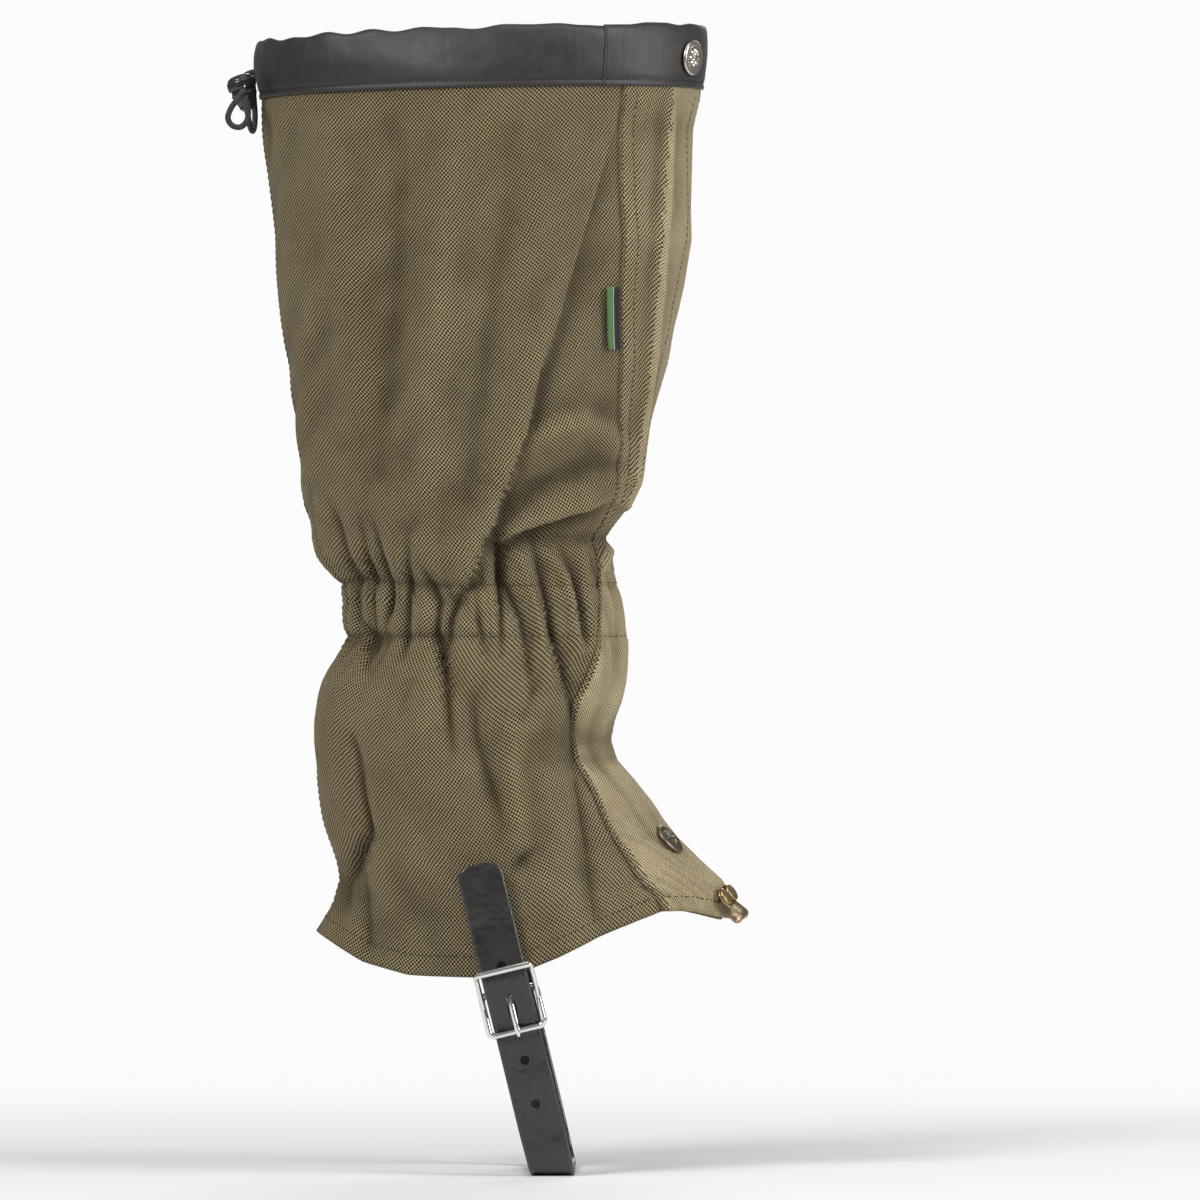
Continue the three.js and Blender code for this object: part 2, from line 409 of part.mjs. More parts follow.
// ---- lace hook
{
  const base = onShell(hookTheta, hookH, GAP + 0.8);
  const bend = rad(20), u = [Math.cos(bend), Math.sin(bend)], v = [Math.sin(bend), -Math.cos(bend)];
  const line = [[-4.0, 0, 4.6], [-3.3, 0, 6.0], [-1.9, 0, 7.2], [0, 0, 7.5], [1.9, 0, 7.2], [3.4, 0.05, 5.9], [4.6, 0.3, 5.2]]; // along, out, half width
  const root = [4.6, 0.3], end = [root[0] + 5.4 * u[0], root[1] + 5.4 * u[1]], R = 2.0;
  const mid = [end[0] + R * v[0], end[1] + R * v[1]];
  for (let i = 0; i <= 8; i++) {                  // half turn of the tongue, then the return lip
    const f = Math.PI * i / 8;
    line.push([mid[0] - R * v[0] * Math.cos(f) + R * u[0] * Math.sin(f), mid[1] - R * v[1] * Math.cos(f) + R * u[1] * Math.sin(f), 5.1]);
  }
  line.push([mid[0] + R * v[0] - 2.6 * u[0], mid[1] + R * v[1] - 2.6 * u[1], 4.6]);
  const rings = line.map(([d, n, w], i) => {
    const p = line[Math.max(0, i - 1)], q = line[Math.min(line.length - 1, i + 1)];
    const l = Math.hypot(q[0] - p[0], q[1] - p[1]), td = (q[0] - p[0]) / l, tn = (q[1] - p[1]) / l;
    return [[-1, -0.5], [1, -0.5], [1, 0.5], [-1, 0.5]].map(([sw, sn]) => base.clone()
      .addScaledVector(hookDown, d - tn * sn).addScaledVector(hookN, n + td * sn).addScaledVector(hookSide, sw * w));
  });
  const hook = loft(rings, [[-1, -0.5], [1, -0.5], [1, 0.5], [-1, 0.5]]);
  add('lace_hook', cut(hook, ...hookRivets.map(p => rod(p, hookN, 1.2, -4.5, 4))), COLOR.brass, 0.3, 1);
  hookRivets.forEach((p, i) => {
    add(`lace_hook_rivet_${'ab'[i]}`, place(lathe([[0, -4.6], [0.9, -4.6], [0.9, 2.0], [3.8, 2.0], [3.75, 3.0], [2.4, 3.5], [0, 3.7]], 12), p, hookN), COLOR.brass, 0.3, 1);
    add(`lace_hook_washer_${'ab'[i]}`, place(lathe([[1.2, -4.4], [2.6, -4.4], [2.6, -3.75], [1.2, -3.75], [1.2, -4.4]], 12), p, hookN), COLOR.brass, 0.35, 1);
  });
}

// ---- instep strap, tab and buckle
const W = h => { const b = STRAP_TILT * smooth((h - 2) / 24); return V(Math.cos(b), 0, Math.sin(b)); };
function ribbon(path, t, half = STRAP_W / 2, w = W) {   // path of (y, h) centres
  const rings = path.map(([y, h], i) => {
    const a = path[Math.max(0, i - 1)], b = path[Math.min(path.length - 1, i + 1)];
    const d = strapPoint(b[0], b[1]).sub(strapPoint(a[0], a[1])).normalize();
    const wd = w(h), n = d.clone().cross(wd).normalize();
    const c = strapPoint(y, h);
    return [[half, t / 2], [-half, t / 2], [-half, -t / 2], [half, -t / 2]].map(([p, q]) => c.clone().addScaledVector(wd, p).addScaledVector(n, q));
  });
  return loft(rings, [[half, t / 2], [-half, t / 2], [-half, -t / 2], [half, -t / 2]]);
}
const corner = (cy, ch, r, a0, a1, n) => Array.from({ length: n + 1 }, (_, i) => { const a = rad(lerp(a0, a1, i / n)); return [cy + r * Math.cos(a), ch + r * Math.sin(a)]; });
const FLAT = STRAP_T / 2 / Math.cos(STRAP_TILT); // puts the upper face under the sole at height 0
const strapPath = [
  [53.4, 114], [53.4, 108], [53.4, 96], [53.2, 86], [51.6, 74], [49.2, 58], [45.6, 36], [42.6, 18],
  ...corner(31.5, 11 - FLAT, 11, -5, -90, 6),
  [12, -FLAT], [0, -FLAT], [-12, -FLAT],
  ...corner(-31.5, 11 - FLAT, 11, -90, -175, 6),
  [-43.6, 25], [-45.6, 44], [-46.9, 56], [-47.4, 62.9], [-48.6, 66.6], [-51.2, 71.4], [-54.0, 76.6], [-55.6, 81], [-56.1, 85], [-56.1, TIP_START - 0.3],
];
const freePath = [[-56.1, TIP_START + 0.3], [-56.1, 104], [-56.1, 112], [-56.3, 122], [-56.5, STRAP_TIP]];
const holeTool = (h, side, len = HOLE_D) => {
  const p = strapPoint(side * 30, h);
  const g = new THREE.CylinderGeometry(HOLE_D / 2, HOLE_D / 2, 45, 12).translate(0, 22, 0);
  const wd = W(h), up = V(0, side, 0);
  g.scale(1, 1, len / HOLE_D);
  const m = new THREE.Matrix4().makeBasis(wd, up, wd.clone().cross(up)); m.setPosition(p);
  return g.applyMatrix4(m);
};
add('instep_strap', cut(ribbon(strapPath, STRAP_T), ...STRAP_HOLES.map(h => holeTool(h, -1)), holeTool(PRONG_HOLE_H, -1, 13.5), rivetHole(1)), COLOR.strap, 0.55);
{
  const tip = ribbon(freePath, STRAP_T);
  const corners = [1, -1].map(s => {                // rounds the two corners of the tip
    const R = 5, sh = new THREE.Shape();
    sh.moveTo(0, 0); sh.absarc(0, 0, R, 0, Math.PI / 2, false); sh.lineTo(0, R + 3); sh.lineTo(R + 3, R + 3); sh.lineTo(R + 3, 0); sh.closePath();
    const full = new THREE.Shape(); full.moveTo(R, 0);
    for (let i = 1; i <= 6; i++) full.lineTo(R * Math.cos(i * Math.PI / 12), R * Math.sin(i * Math.PI / 12));
    full.lineTo(0, R + 3); full.lineTo(R + 3, R + 3); full.lineTo(R + 3, 0); full.closePath();
    const g = new THREE.ExtrudeGeometry(full, { depth: 12, bevelEnabled: false }).translate(0, 0, -6);
    const wd = W(100).multiplyScalar(s), up = V(-Math.sin(STRAP_TILT), 0, Math.cos(STRAP_TILT));
    const m = new THREE.Matrix4().makeBasis(wd, up, wd.clone().cross(up));
    m.setPosition(strapPoint(-56.5, STRAP_TIP - R).addScaledVector(wd, STRAP_W / 2 - R));
    return g.applyMatrix4(m);
  });
  add('strap_free_end', cut(tip, ...corners), COLOR.strap, 0.55);
}
{
  // tab: a strip folded round the pivot bar, one end outside and one inside the hem
  const r = BAR_R + GAP + 0.8, path = [[-52.1, 116], [-52.1, 100], [-52.3, 90], [-52.5, 85], ...corner(BUCKLE_Y, BAR_H, r, 160, 380, 8).map(p => [p[0], p[1]]), [-47.0, 85], [-45.4, 88.6], [-45.0, 93], [-45.0, 104], [-45.0, 116]];
  const tabRing = path;
  const slot = box(6.4, 9, 8.2, 0, BUCKLE_Y, 0);
  const m = new THREE.Matrix4().makeBasis(W(80), V(0, 1, 0), W(80).cross(V(0, 1, 0))); m.setPosition(strapPoint(0, BAR_H));
  slot.translate(0, 0, 0).applyMatrix4(m);
  add('buckle_tab', cut(ribbon(tabRing, 1.6), slot, rivetHole(-1)), COLOR.strap, 0.6);
}
// rivets: head outside, shank through strap or tab and cloth, burr inside
add('tab_rivet', place(lathe([[0, 0], [4.2, 0], [4.2, 0.5], [2.0, 0.5], [2.0, 9.8], [0, 9.8]], 16), V(rivetAxis.x, -43.4, rivetAxis.z), V(0, -1, 0)), COLOR.steel, 0.35, 1);
add('tab_rivet_head', place(lathe([[2.3, 0], [4.6, 0], [4.4, 0.9], [2.3, 1.0], [2.3, 0]], 16), V(rivetAxis.x, -53.2, rivetAxis.z), V(0, -1, 0)), COLOR.steel, 0.35, 1);
add('strap_rivet', place(lathe([[0, 0], [4.6, 0], [4.6, -0.5], [3.2, -1.3], [0, -1.6]].map(p => [p[0], -p[1]]).reverse(), 16), V(rivetAxis.x, 55.0, rivetAxis.z), V(0, 1, 0)), COLOR.steel, 0.35, 1);
add('strap_rivet_shank', place(lathe([[0, 0], [4.4, 0], [4.4, 0.7], [2.0, 0.7], [2.0, 7.6], [0, 7.6]], 16), V(rivetAxis.x, 47.0, rivetAxis.z), V(0, 1, 0)), COLOR.steel, 0.35, 1);

const wBar = W(80), hBar = V(-Math.sin(STRAP_TILT), 0, Math.cos(STRAP_TILT));
const at = (w, y, h) => strapPoint(y, h).addScaledVector(wBar, w);
{
  // buckle: wire frame with a bridge over the strap as keeper
  const rr = 2.6, c = [];
  const H0 = TIP_BAR_H, H1 = BAR_H, B = BUCKLE_HALF;
  for (const [sx, sy, a0] of [[1, 1, 0], [-1, 1, 90], [-1, -1, 180], [1, -1, 270]]) for (let i = 0; i <= 3; i++) {
    const a = rad(a0 + i * 30);
    c.push(at(sx * (B - rr) + rr * Math.cos(a), BUCKLE_Y, (sy > 0 ? H1 - rr : H0 + rr) + rr * Math.sin(a)));
  }
  const frame = (() => {
    const rings = c.map((p, i) => {
      const d = c[(i + 1) % c.length].clone().sub(c[(i + c.length - 1) % c.length]).normalize();
      const yv = V(0, 1, 0), n = yv.clone().cross(d).normalize();
      return Array.from({ length: 8 }, (_, k) => { const a = k * Math.PI / 4 + Math.PI / 8; return p.clone().addScaledVector(yv, BAR_R * Math.cos(a)).addScaledVector(n, BAR_R * Math.sin(a)); });
    });
    return loft(rings, Array.from({ length: 8 }, (_, k) => [Math.cos(k * Math.PI / 4), Math.sin(k * Math.PI / 4)]), true);
  })();
  const linkPts = s => [at(s * B, BUCKLE_Y, BAR_H - 5), at(s * B, BUCKLE_Y - 2.2, BAR_H + 1), at(s * B, -57.0, KEEPER_H - 1.6), at(s * (B - 0.2), -59.0, KEEPER_H)];
  const seg = (p, q, r) => { const d = q.clone().sub(p), L = d.length(); return rod(p, d, r, -0.3, L + 0.3, 8); };
  const parts = [];
  for (const s of [1, -1]) { const q = linkPts(s); for (let i = 0; i + 1 < q.length; i++) parts.push(seg(q[i], q[i + 1], 1.15)); }
  parts.push(seg(at(-B, -59.0, KEEPER_H), at(B, -59.0, KEEPER_H), 1.3));
  add('buckle_frame', join(frame, ...parts), COLOR.steel, 0.12, 1);
}
{
  // prong: flattened rod with an eye round the pivot bar, its tip on the far bar
  const eye = new THREE.Shape(); const ro = BAR_R + GAP + 1.1, ri = BAR_R + GAP;
  for (let i = 0; i < 14; i++) { const a = i / 14 * 2 * Math.PI; i ? eye.lineTo(ro * Math.cos(a), ro * Math.sin(a)) : eye.moveTo(ro, 0); }
  eye.closePath();
  const hole = new THREE.Path(); for (let i = 0; i < 14; i++) { const a = -i / 14 * 2 * Math.PI; i ? hole.lineTo(ri * Math.cos(a), ri * Math.sin(a)) : hole.moveTo(ri, 0); }
  hole.closePath(); eye.holes.push(hole);
  const g = new THREE.ExtrudeGeometry(eye, { depth: 2.8, bevelEnabled: false, curveSegments: 1 }).translate(0, 0, -1.4);
  // local x: outward (-Y), local y: up the strap, local z: across
  const m = new THREE.Matrix4().makeBasis(V(0, -1, 0), hBar, V(0, -1, 0).cross(hBar)); m.setPosition(strapPoint(BUCKLE_Y, BAR_H));
  const pts = [[-BUCKLE_Y ? BUCKLE_Y - 1.9 : 0, BAR_H - 1.6], [BUCKLE_Y - 2.5, BAR_H - 9], [BUCKLE_Y - 2.9, TIP_BAR_H - 0.5], [BUCKLE_Y - 2.4, TIP_BAR_H - 2.4]];
  const rings = pts.map(([y, h], i) => {
    const r = [1.15, 1.15, 1.1, 0.8][i];
    return Array.from({ length: 8 }, (_, k) => { const a = k * Math.PI / 4 + Math.PI / 8; return at(r * Math.cos(a) * 1.1, y + r * Math.sin(a), h); });
  });
  const shaft = loft(rings, Array.from({ length: 8 }, (_, k) => [Math.cos(k * Math.PI / 4), Math.sin(k * Math.PI / 4)]));
  add('buckle_prong', join(g.applyMatrix4(m), shaft), COLOR.steel, 0.12, 1);
}

// ---- cord lock on the free bight of the drawcord
const lockAxis = V(Math.sin(LOCK.tilt), 0, Math.cos(LOCK.tilt));        // towards the button
const lockBase = V(LOCK.x, LOCK.y, LOCK.z);
const lockX = V(Math.cos(LOCK.tilt), 0, -Math.sin(LOCK.tilt));
const CORD_AT = [4.9, 7.6];        // heights of the two cord channels above the lock's lower end
const placeLock = g => { const m = new THREE.Matrix4().makeBasis(lockX, lockAxis, lockX.clone().cross(lockAxis)); m.setPosition(lockBase); return g.applyMatrix4(m); };
{
  const top = LOCK.body, mid = (CORD_AT[0] + CORD_AT[1]) / 2, span = CORD_AT[1] - CORD_AT[0];
  const body = lathe([[0, -0.4], [2.6, -0.4], [LOCK.r0, 0.4], [4.5, 4.4], [5.7, 8.2], [LOCK.r1, top - 0.6], [LOCK.r1 - 0.4, top], [3.9, top], [3.9, 0.8], [0, 0.8]], 16);
  add('cord_lock_body', placeLock(cut(body, box(2.9, span + 2.9, 20, 0, mid, 0))), COLOR.black, 0.35);
  const low = top + 0.25 + LOCK_TRAVEL;
  const head = lathe([[0, 3.3], [3.5, 3.3], [3.5, low], [6.0, low], [6.2, low + 1.0], [5.6, low + 2.4], [3.8, low + 3.5], [0, low + 4.0]], 16);
  const slot = box(3.1, span + 3.0 + LOCK_TRAVEL, 20, 0, mid + LOCK_TRAVEL / 2, 0);
  add('cord_lock_button', placeLock(cut(head, slot)), COLOR.black, 0.35);
  const coil = [];
  for (let i = 0; i <= 22; i++) { const a = i / 22 * 2.4 * 2 * Math.PI; coil.push(V(2.5 * Math.cos(a), 1.15 + 1.75 * i / 22, 2.5 * Math.sin(a))); }
  add('cord_lock_spring', placeLock(tube(coil, 0.5, 5, 4)), COLOR.steel, 0.3, 1);
}
// the bight: out of the band, through the lock, one loop, and back into the band
const U = lockBase.clone().addScaledVector(lockAxis, CORD_AT[1]), L = lockBase.clone().addScaledVector(lockAxis, CORD_AT[0]);
export const BIGHT = [
  [backX(EXIT_Y[0]) + 0.5, EXIT_Y[0], EXIT_Z], [-131.6, 4.4, 481.1], [-135.0, 4.3, 479.7], [-137.0, 3.6, 476.6], [-136.6, 1.2, 473.2], [U.x - 0.3, -1.8, U.z + 0.4], [U.x, -4.6, U.z],
  [U.x, -10, U.z], [U.x, -16, U.z], [U.x, -22, U.z], [U.x, -25.6, U.z],
  [U.x - 0.5, -28.6, U.z - 1.0], [-137.6, -30.3, 467.2], [-140.4, -30.2, 463.2], [-141.6, -29.6, 459.0], [-139.6, -29.2, 455.9], [-136.0, -29.0, 455.4], [-133.3, -29.1, 458.2],
  [-132.8, -29.8, 462.4], [L.x + 0.4, -29.8, 465.6], [L.x + 0.1, -28.2, L.z - 0.7], [L.x, -25.4, L.z],
  [L.x, -22, L.z], [L.x, -16, L.z], [L.x, -10, L.z], [L.x, -5.0, L.z],
  [-134.3, -2.0, 467.8], [-134.4, 1.0, 465.2], [-133.9, 3.0, 461.2], [-133.2, 4.9, 457.4], [-132.2, 8.1, 455.3], [-131.5, 11.4, 457.3], [-131.2, 12.4, 461.6], [-131.5, 12.3, 467.4], [-131.9, 12.0, 473.0],
  [-132.0, 11.7, 476.6], [-131.0, 11.4, 479.6], [-128.9, 11.2, 481.0], [backX(EXIT_Y[1]) + 0.5, EXIT_Y[1], EXIT_Z],
];
add('drawcord_bight', tube(BIGHT.map(p => V(...p)), CORD_D, 8, 1.3), COLOR.black, 0.9);

export default gaiter;
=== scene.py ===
# Looks of a leg gaiter: woven shell with gathered ankle, satin band with drawcord
# and lock, hook-and-loop front flap, snaps, lace hook, instep strap with buckle.
import math
import bpy
import numpy as np
from mathutils import Vector, Matrix


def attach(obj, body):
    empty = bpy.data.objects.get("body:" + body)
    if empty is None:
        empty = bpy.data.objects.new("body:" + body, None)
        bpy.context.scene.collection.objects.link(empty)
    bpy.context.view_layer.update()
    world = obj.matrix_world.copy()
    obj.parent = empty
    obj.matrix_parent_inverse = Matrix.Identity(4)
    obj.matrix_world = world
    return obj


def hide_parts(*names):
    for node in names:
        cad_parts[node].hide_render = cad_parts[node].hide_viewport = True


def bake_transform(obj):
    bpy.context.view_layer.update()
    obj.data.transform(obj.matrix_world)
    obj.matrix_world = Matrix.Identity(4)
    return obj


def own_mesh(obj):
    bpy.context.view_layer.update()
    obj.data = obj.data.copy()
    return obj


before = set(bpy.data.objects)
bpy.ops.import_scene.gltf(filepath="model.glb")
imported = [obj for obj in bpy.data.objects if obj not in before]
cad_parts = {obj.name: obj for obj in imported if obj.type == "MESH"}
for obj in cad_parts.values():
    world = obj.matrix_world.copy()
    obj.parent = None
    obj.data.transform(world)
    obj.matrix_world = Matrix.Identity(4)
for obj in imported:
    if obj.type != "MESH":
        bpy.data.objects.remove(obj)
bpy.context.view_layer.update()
MM = 0.001
scene = bpy.context.scene
scene.view_settings.view_transform = "Standard"

# ------------------------------------------------------------------ camera
cam_data = bpy.data.cameras.new("view")
cam_data.lens = 300
cam_data.sensor_width = 36
cam_data.clip_end = 100
cam = bpy.data.objects.new("view", cam_data)
cam.location = (0.0210, -4.4, 0.2486)
cam.rotation_euler = (math.pi / 2, 0, 0)
scene.collection.objects.link(cam)
scene.camera = cam


# ------------------------------------------------------------------ small maths
def arr(*v):
    return np.array(v, float)


def unit(v):
    v = np.asarray(v, float)
    return v / np.maximum(np.linalg.norm(v, axis=-1, keepdims=True), 1e-12)


def smooth(t):
    c = np.clip(t, 0, 1)
    return c * c * (3 - 2 * c)


def lerp(a, b, t):
    return a + (b - a) * t


def spline(points, step, closed=False):
    """Centripetal Catmull-Rom through points, sampled about every step."""
    p = np.array(points, float)
    if closed:
        p = np.vstack([p[-1], p, p[0], p[1]])
    else:
        p = np.vstack([2 * p[0] - p[1], p, 2 * p[-1] - p[-2]])
    out = []
    for i in range(1, len(p) - 2):
        a, b, c, d = p[i - 1], p[i], p[i + 1], p[i + 2]
        t0 = 0.0
        t1 = t0 + max(np.linalg.norm(b - a), 1e-6) ** 0.5
        t2 = t1 + max(np.linalg.norm(c - b), 1e-6) ** 0.5
        t3 = t2 + max(np.linalg.norm(d - c), 1e-6) ** 0.5
        n = max(1, int(round(np.linalg.norm(c - b) / step)))
        for k in range(n):
            t = t1 + (t2 - t1) * k / n
            A1 = (t1 - t) / (t1 - t0) * a + (t - t0) / (t1 - t0) * b
            A2 = (t2 - t) / (t2 - t1) * b + (t - t1) / (t2 - t1) * c
            A3 = (t3 - t) / (t3 - t2) * c + (t - t2) / (t3 - t2) * d
            B1 = (t2 - t) / (t2 - t0) * A1 + (t - t0) / (t2 - t0) * A2
            B2 = (t3 - t) / (t3 - t1) * A2 + (t - t1) / (t3 - t1) * A3
            out.append((t2 - t) / (t2 - t1) * B1 + (t - t1) / (t2 - t1) * B2)
    if not closed:
        out.append(p[-2])
    return np.array(out)


def value_noise(x, y, seed, scale):
    """Smooth seeded noise in -1..1 on arrays x, y."""
    r = np.random.default_rng(seed)
    g = r.uniform(-1, 1, (64, 64))
    u, v = np.asarray(x) / scale, np.asarray(y) / scale
    i, j = np.floor(u).astype(int), np.floor(v).astype(int)
    fu, fv = u - i, v - j
    fu, fv = fu * fu * (3 - 2 * fu), fv * fv * (3 - 2 * fv)
    a, b = g[i % 64, j % 64], g[(i + 1) % 64, j % 64]
    c, d = g[i % 64, (j + 1) % 64], g[(i + 1) % 64, (j + 1) % 64]
    return lerp(lerp(a, b, fu), lerp(c, d, fu), fv)


# ------------------------------------------------------------------ the wrap's surface, in mm, as in the CAD
UPPER = np.array([
    [504.0, -129.0, 67.0, 64.0], [490.0, -129.0, 67.0, 64.5], [470.0, -127.8, 65.0, 65.0], [455.0, -127.4, 61.2, 65.0],
    [433.0, -125.4, 60.6, 64.5], [407.0, -122.0, 60.2, 63.5], [381.0, -119.2, 54.6, 61.5], [354.0, -115.2, 49.6, 59.0],
    [328.0, -112.2, 43.2, 56.5], [304.0, -108.9, 38.6, 53.5], [290.0, -107.4, 32.0, 51.0], [276.0, -103.6, 23.5, 48.0],
    [262.0, -97.5, 27.0, 45.5], [248.0, -91.5, 31.0, 44.5], [231.0, -92.0, 34.0, 46.0]])[::-1]
Z_GATHER, H_HEM = 231.0, 100.0
FRONT_LINE = np.array([[34.0, 231.0], [34.0, 222.0], [33.0, 213.0], [31.0, 204.6], [27.7, 195.8], [25.8, 187.0], [28.5, 178.2],
    [36.0, 169.4], [42.7, 160.6], [48.0, 151.8], [54.5, 143.0], [64.0, 134.2], [73.8, 125.4], [79.8, 116.5], [80.5, 108.7]])
HEEL_LINE = np.array([[-92.0, 231.0], [-96.4, 222.2], [-101.5, 213.4], [-104.0, 204.6], [-105.8, 195.8], [-105.8, 187.0],
    [-105.2, 178.2], [-104.2, 169.4], [-102.2, 160.6], [-99.9, 151.8], [-97.4, 143.0], [-95.2, 134.2], [-94.3, 125.4],
    [-97.0, 116.6], [-101.8, 107.8], [-104.3, 103.4]])
HEM_LINE = np.array([[-104.3, 103.4], [-93.3, 96.8], [-82.3, 90.6], [-62.5, 85.2], [-33.9, 84.4], [-9.7, 88.0],
    [3.5, 93.6], [21.1, 102.3], [38.7, 109.4], [49.3, 113.2], [60.7, 112.9], [80.5, 108.7]])
INSTEP = np.array([[231, 46], [205, 49.5], [180, 50.5], [150, 50.6], [125, 50.8], [100, 51.2]], float)[::-1]
SEAM_UPPER = [[31.2, 503], [30.8, 470], [30.2, 420], [30.0, 380], [29.6, 340], [28.6, 305], [21.5, 281]]
SEAM_LOWER = [[11.4, 204.6], [11.4, 187], [13.4, 177], [23.6, 153.6], [37.2, 127.0], [48.6, 114.0]]
FREE_EDGE, UNDERLAP, CLOTH = -3.0, -5.6, 1.2
BAND_LOW, BAND_HIGH = [469.5, 473.6], [493.5, 501.0]


def along(points, t):
    d = np.concatenate([[0], np.cumsum(np.linalg.norm(np.diff(points, axis=0), axis=1))])
    s = np.clip(t, 0, 1) * d[-1]
    return np.interp(s, d, points[:, 0]), np.interp(s, d, points[:, 1])


def row(h):
    h = np.asarray(h, float)
    t = np.clip((Z_GATHER - h) / (Z_GATHER - H_HEM), 0, None)
    fx, fz = along(FRONT_LINE, t)
    rx, rz = along(HEEL_LINE, t)
    up = h >= Z_GATHER
    xb = np.where(up, np.interp(h, UPPER[:, 0], UPPER[:, 1]), rx)
    xf = np.where(up, np.interp(h, UPPER[:, 0], UPPER[:, 2]), fx)
    zb, zf = np.where(up, h, rz), np.where(up, h, fz)
    b = np.where(up, np.interp(h, UPPER[:, 0], UPPER[:, 3]), np.interp(h, INSTEP[:, 0], INSTEP[:, 1]))
    return xb, zb, xf, zf, b, np.where(up, 0, t)


def surf(theta, h):
    theta, h = np.broadcast_arrays(np.asarray(theta, float), np.asarray(h, float))
    xb, zb, xf, zf, b, t = row(h)
    c, s = np.cos(np.radians(theta)), np.sin(np.radians(theta))
    k = (1 + c) / 2
    hx = lerp(HEM_LINE[0, 0], HEM_LINE[-1, 0], k)
    dip = np.interp(hx, HEM_LINE[:, 0], HEM_LINE[:, 1]) - lerp(HEM_LINE[0, 1], HEM_LINE[-1, 1], k)
    return np.stack([lerp(xb, xf, k), -b * s, lerp(zb, zf, k) + dip * t ** 1.5], -1)


def normal(theta, h):
    theta, h = np.asarray(theta, float), np.asarray(h, float)
    a = surf(theta + 0.6, h) - surf(theta - 0.6, h)
    b = surf(theta, h + 1) - surf(theta, h - 1)
    return unit(np.cross(b, a))


def on_shell(theta, h, out):
    return surf(theta, h) + normal(theta, h) * np.asarray(out, float)[..., None]


def find(x, z):
    h, theta = float(z), 30.0
    for _ in range(60):
        xb, _, xf, _, _, _ = row(h)
        theta = math.degrees(math.acos(min(1, max(-1, 2 * (x - float(xb)) / (float(xf) - float(xb)) - 1))))
        h += 0.7 * (z - float(surf(theta, h)[2]))
    return [h, theta]


_seam = [find(*p) for p in SEAM_UPPER] + [[262, 26], [240, 37], [222, 42]] + [find(*p) for p in SEAM_LOWER]
_seam[-1][0] = H_HEM
_seam = np.array(_seam)[::-1]


def seam_at(h):
    return np.interp(h, _seam[:, 0], _seam[:, 1])


HINGE_UP = np.array([[276, 0], [284, 3.4], [300, 11.8], [330, 20.2], [360, 27.5], [400, 35.4], [440, 41.0], [468, 45.9]], float)
HINGE_LO = np.array([[100, 45.6], [110, 43.5], [120, 39.4], [130, 34.4], [140, 28.9], [150, 23.5], [160, 18.3], [175, 8.8], [187, 1.4]], float)


def up_edge(h):
    return np.interp(h, HINGE_UP[:, 0], HINGE_UP[:, 1])


def lo_edge(h):
    return np.interp(h, HINGE_LO[:, 0], HINGE_LO[:, 1])


def under_end(h):
    h = np.asarray(h, float)
    e = np.where(h > 262, up_edge(h), np.where(h < 205, lo_edge(h), 12))
    return np.maximum(e, 12) + 5


def inner_out(th, h):
    under = smooth((np.asarray(th, float) + 52) / 40)
    return under * lerp(UNDERLAP, -8.0, smooth((np.asarray(h, float) - 446) / 18))


def band_low(th):
    return lerp(BAND_LOW[0], BAND_LOW[1], (1 + np.cos(np.radians(th))) / 2)


def band_high(th):
    return lerp(BAND_HIGH[0], BAND_HIGH[1], (1 + np.cos(np.radians(th))) / 2)


# strap frame
TILT = math.radians(13.6)


def strap_point(y, h):
    return arr(-math.sin(TILT) * h, y, math.cos(TILT) * h)


def strap_w(h):
    b = TILT * float(smooth((h - 2) / 24))
    return arr(math.cos(b), 0, math.sin(b))


W_BAR, H_BAR = strap_w(80), arr(-math.sin(TILT), 0, math.cos(TILT))


def at(w, y, h):
    return strap_point(y, h) + W_BAR * w


# ------------------------------------------------------------------ mesh helpers
def make(name, verts, faces, uv=None, smooth_faces=True):
    """A mesh object from points in mm. uv is one pair per vertex, in metres."""
    me = bpy.data.meshes.new(name)
    me.from_pydata([tuple(v) for v in np.asarray(verts, float) * MM], [], [tuple(int(k) for k in f) for f in faces])
    me.validate()
    me.update()
    if uv is not None:
        lay = me.uv_layers.new(name="UVMap")
        vi = np.zeros(len(me.loops), np.int32)
        me.loops.foreach_get("vertex_index", vi)
        lay.data.foreach_set("uv", np.asarray(uv, np.float32)[vi].ravel())
    if smooth_faces:
        me.polygons.foreach_set("use_smooth", np.ones(len(me.polygons), bool))
    ob = bpy.data.objects.new(name, me)
    scene.collection.objects.link(ob)
    return ob


def grid_normals(P):
    du = np.gradient(P, axis=1)
    dv = np.gradient(P, axis=0)
    return unit(np.cross(dv, du))


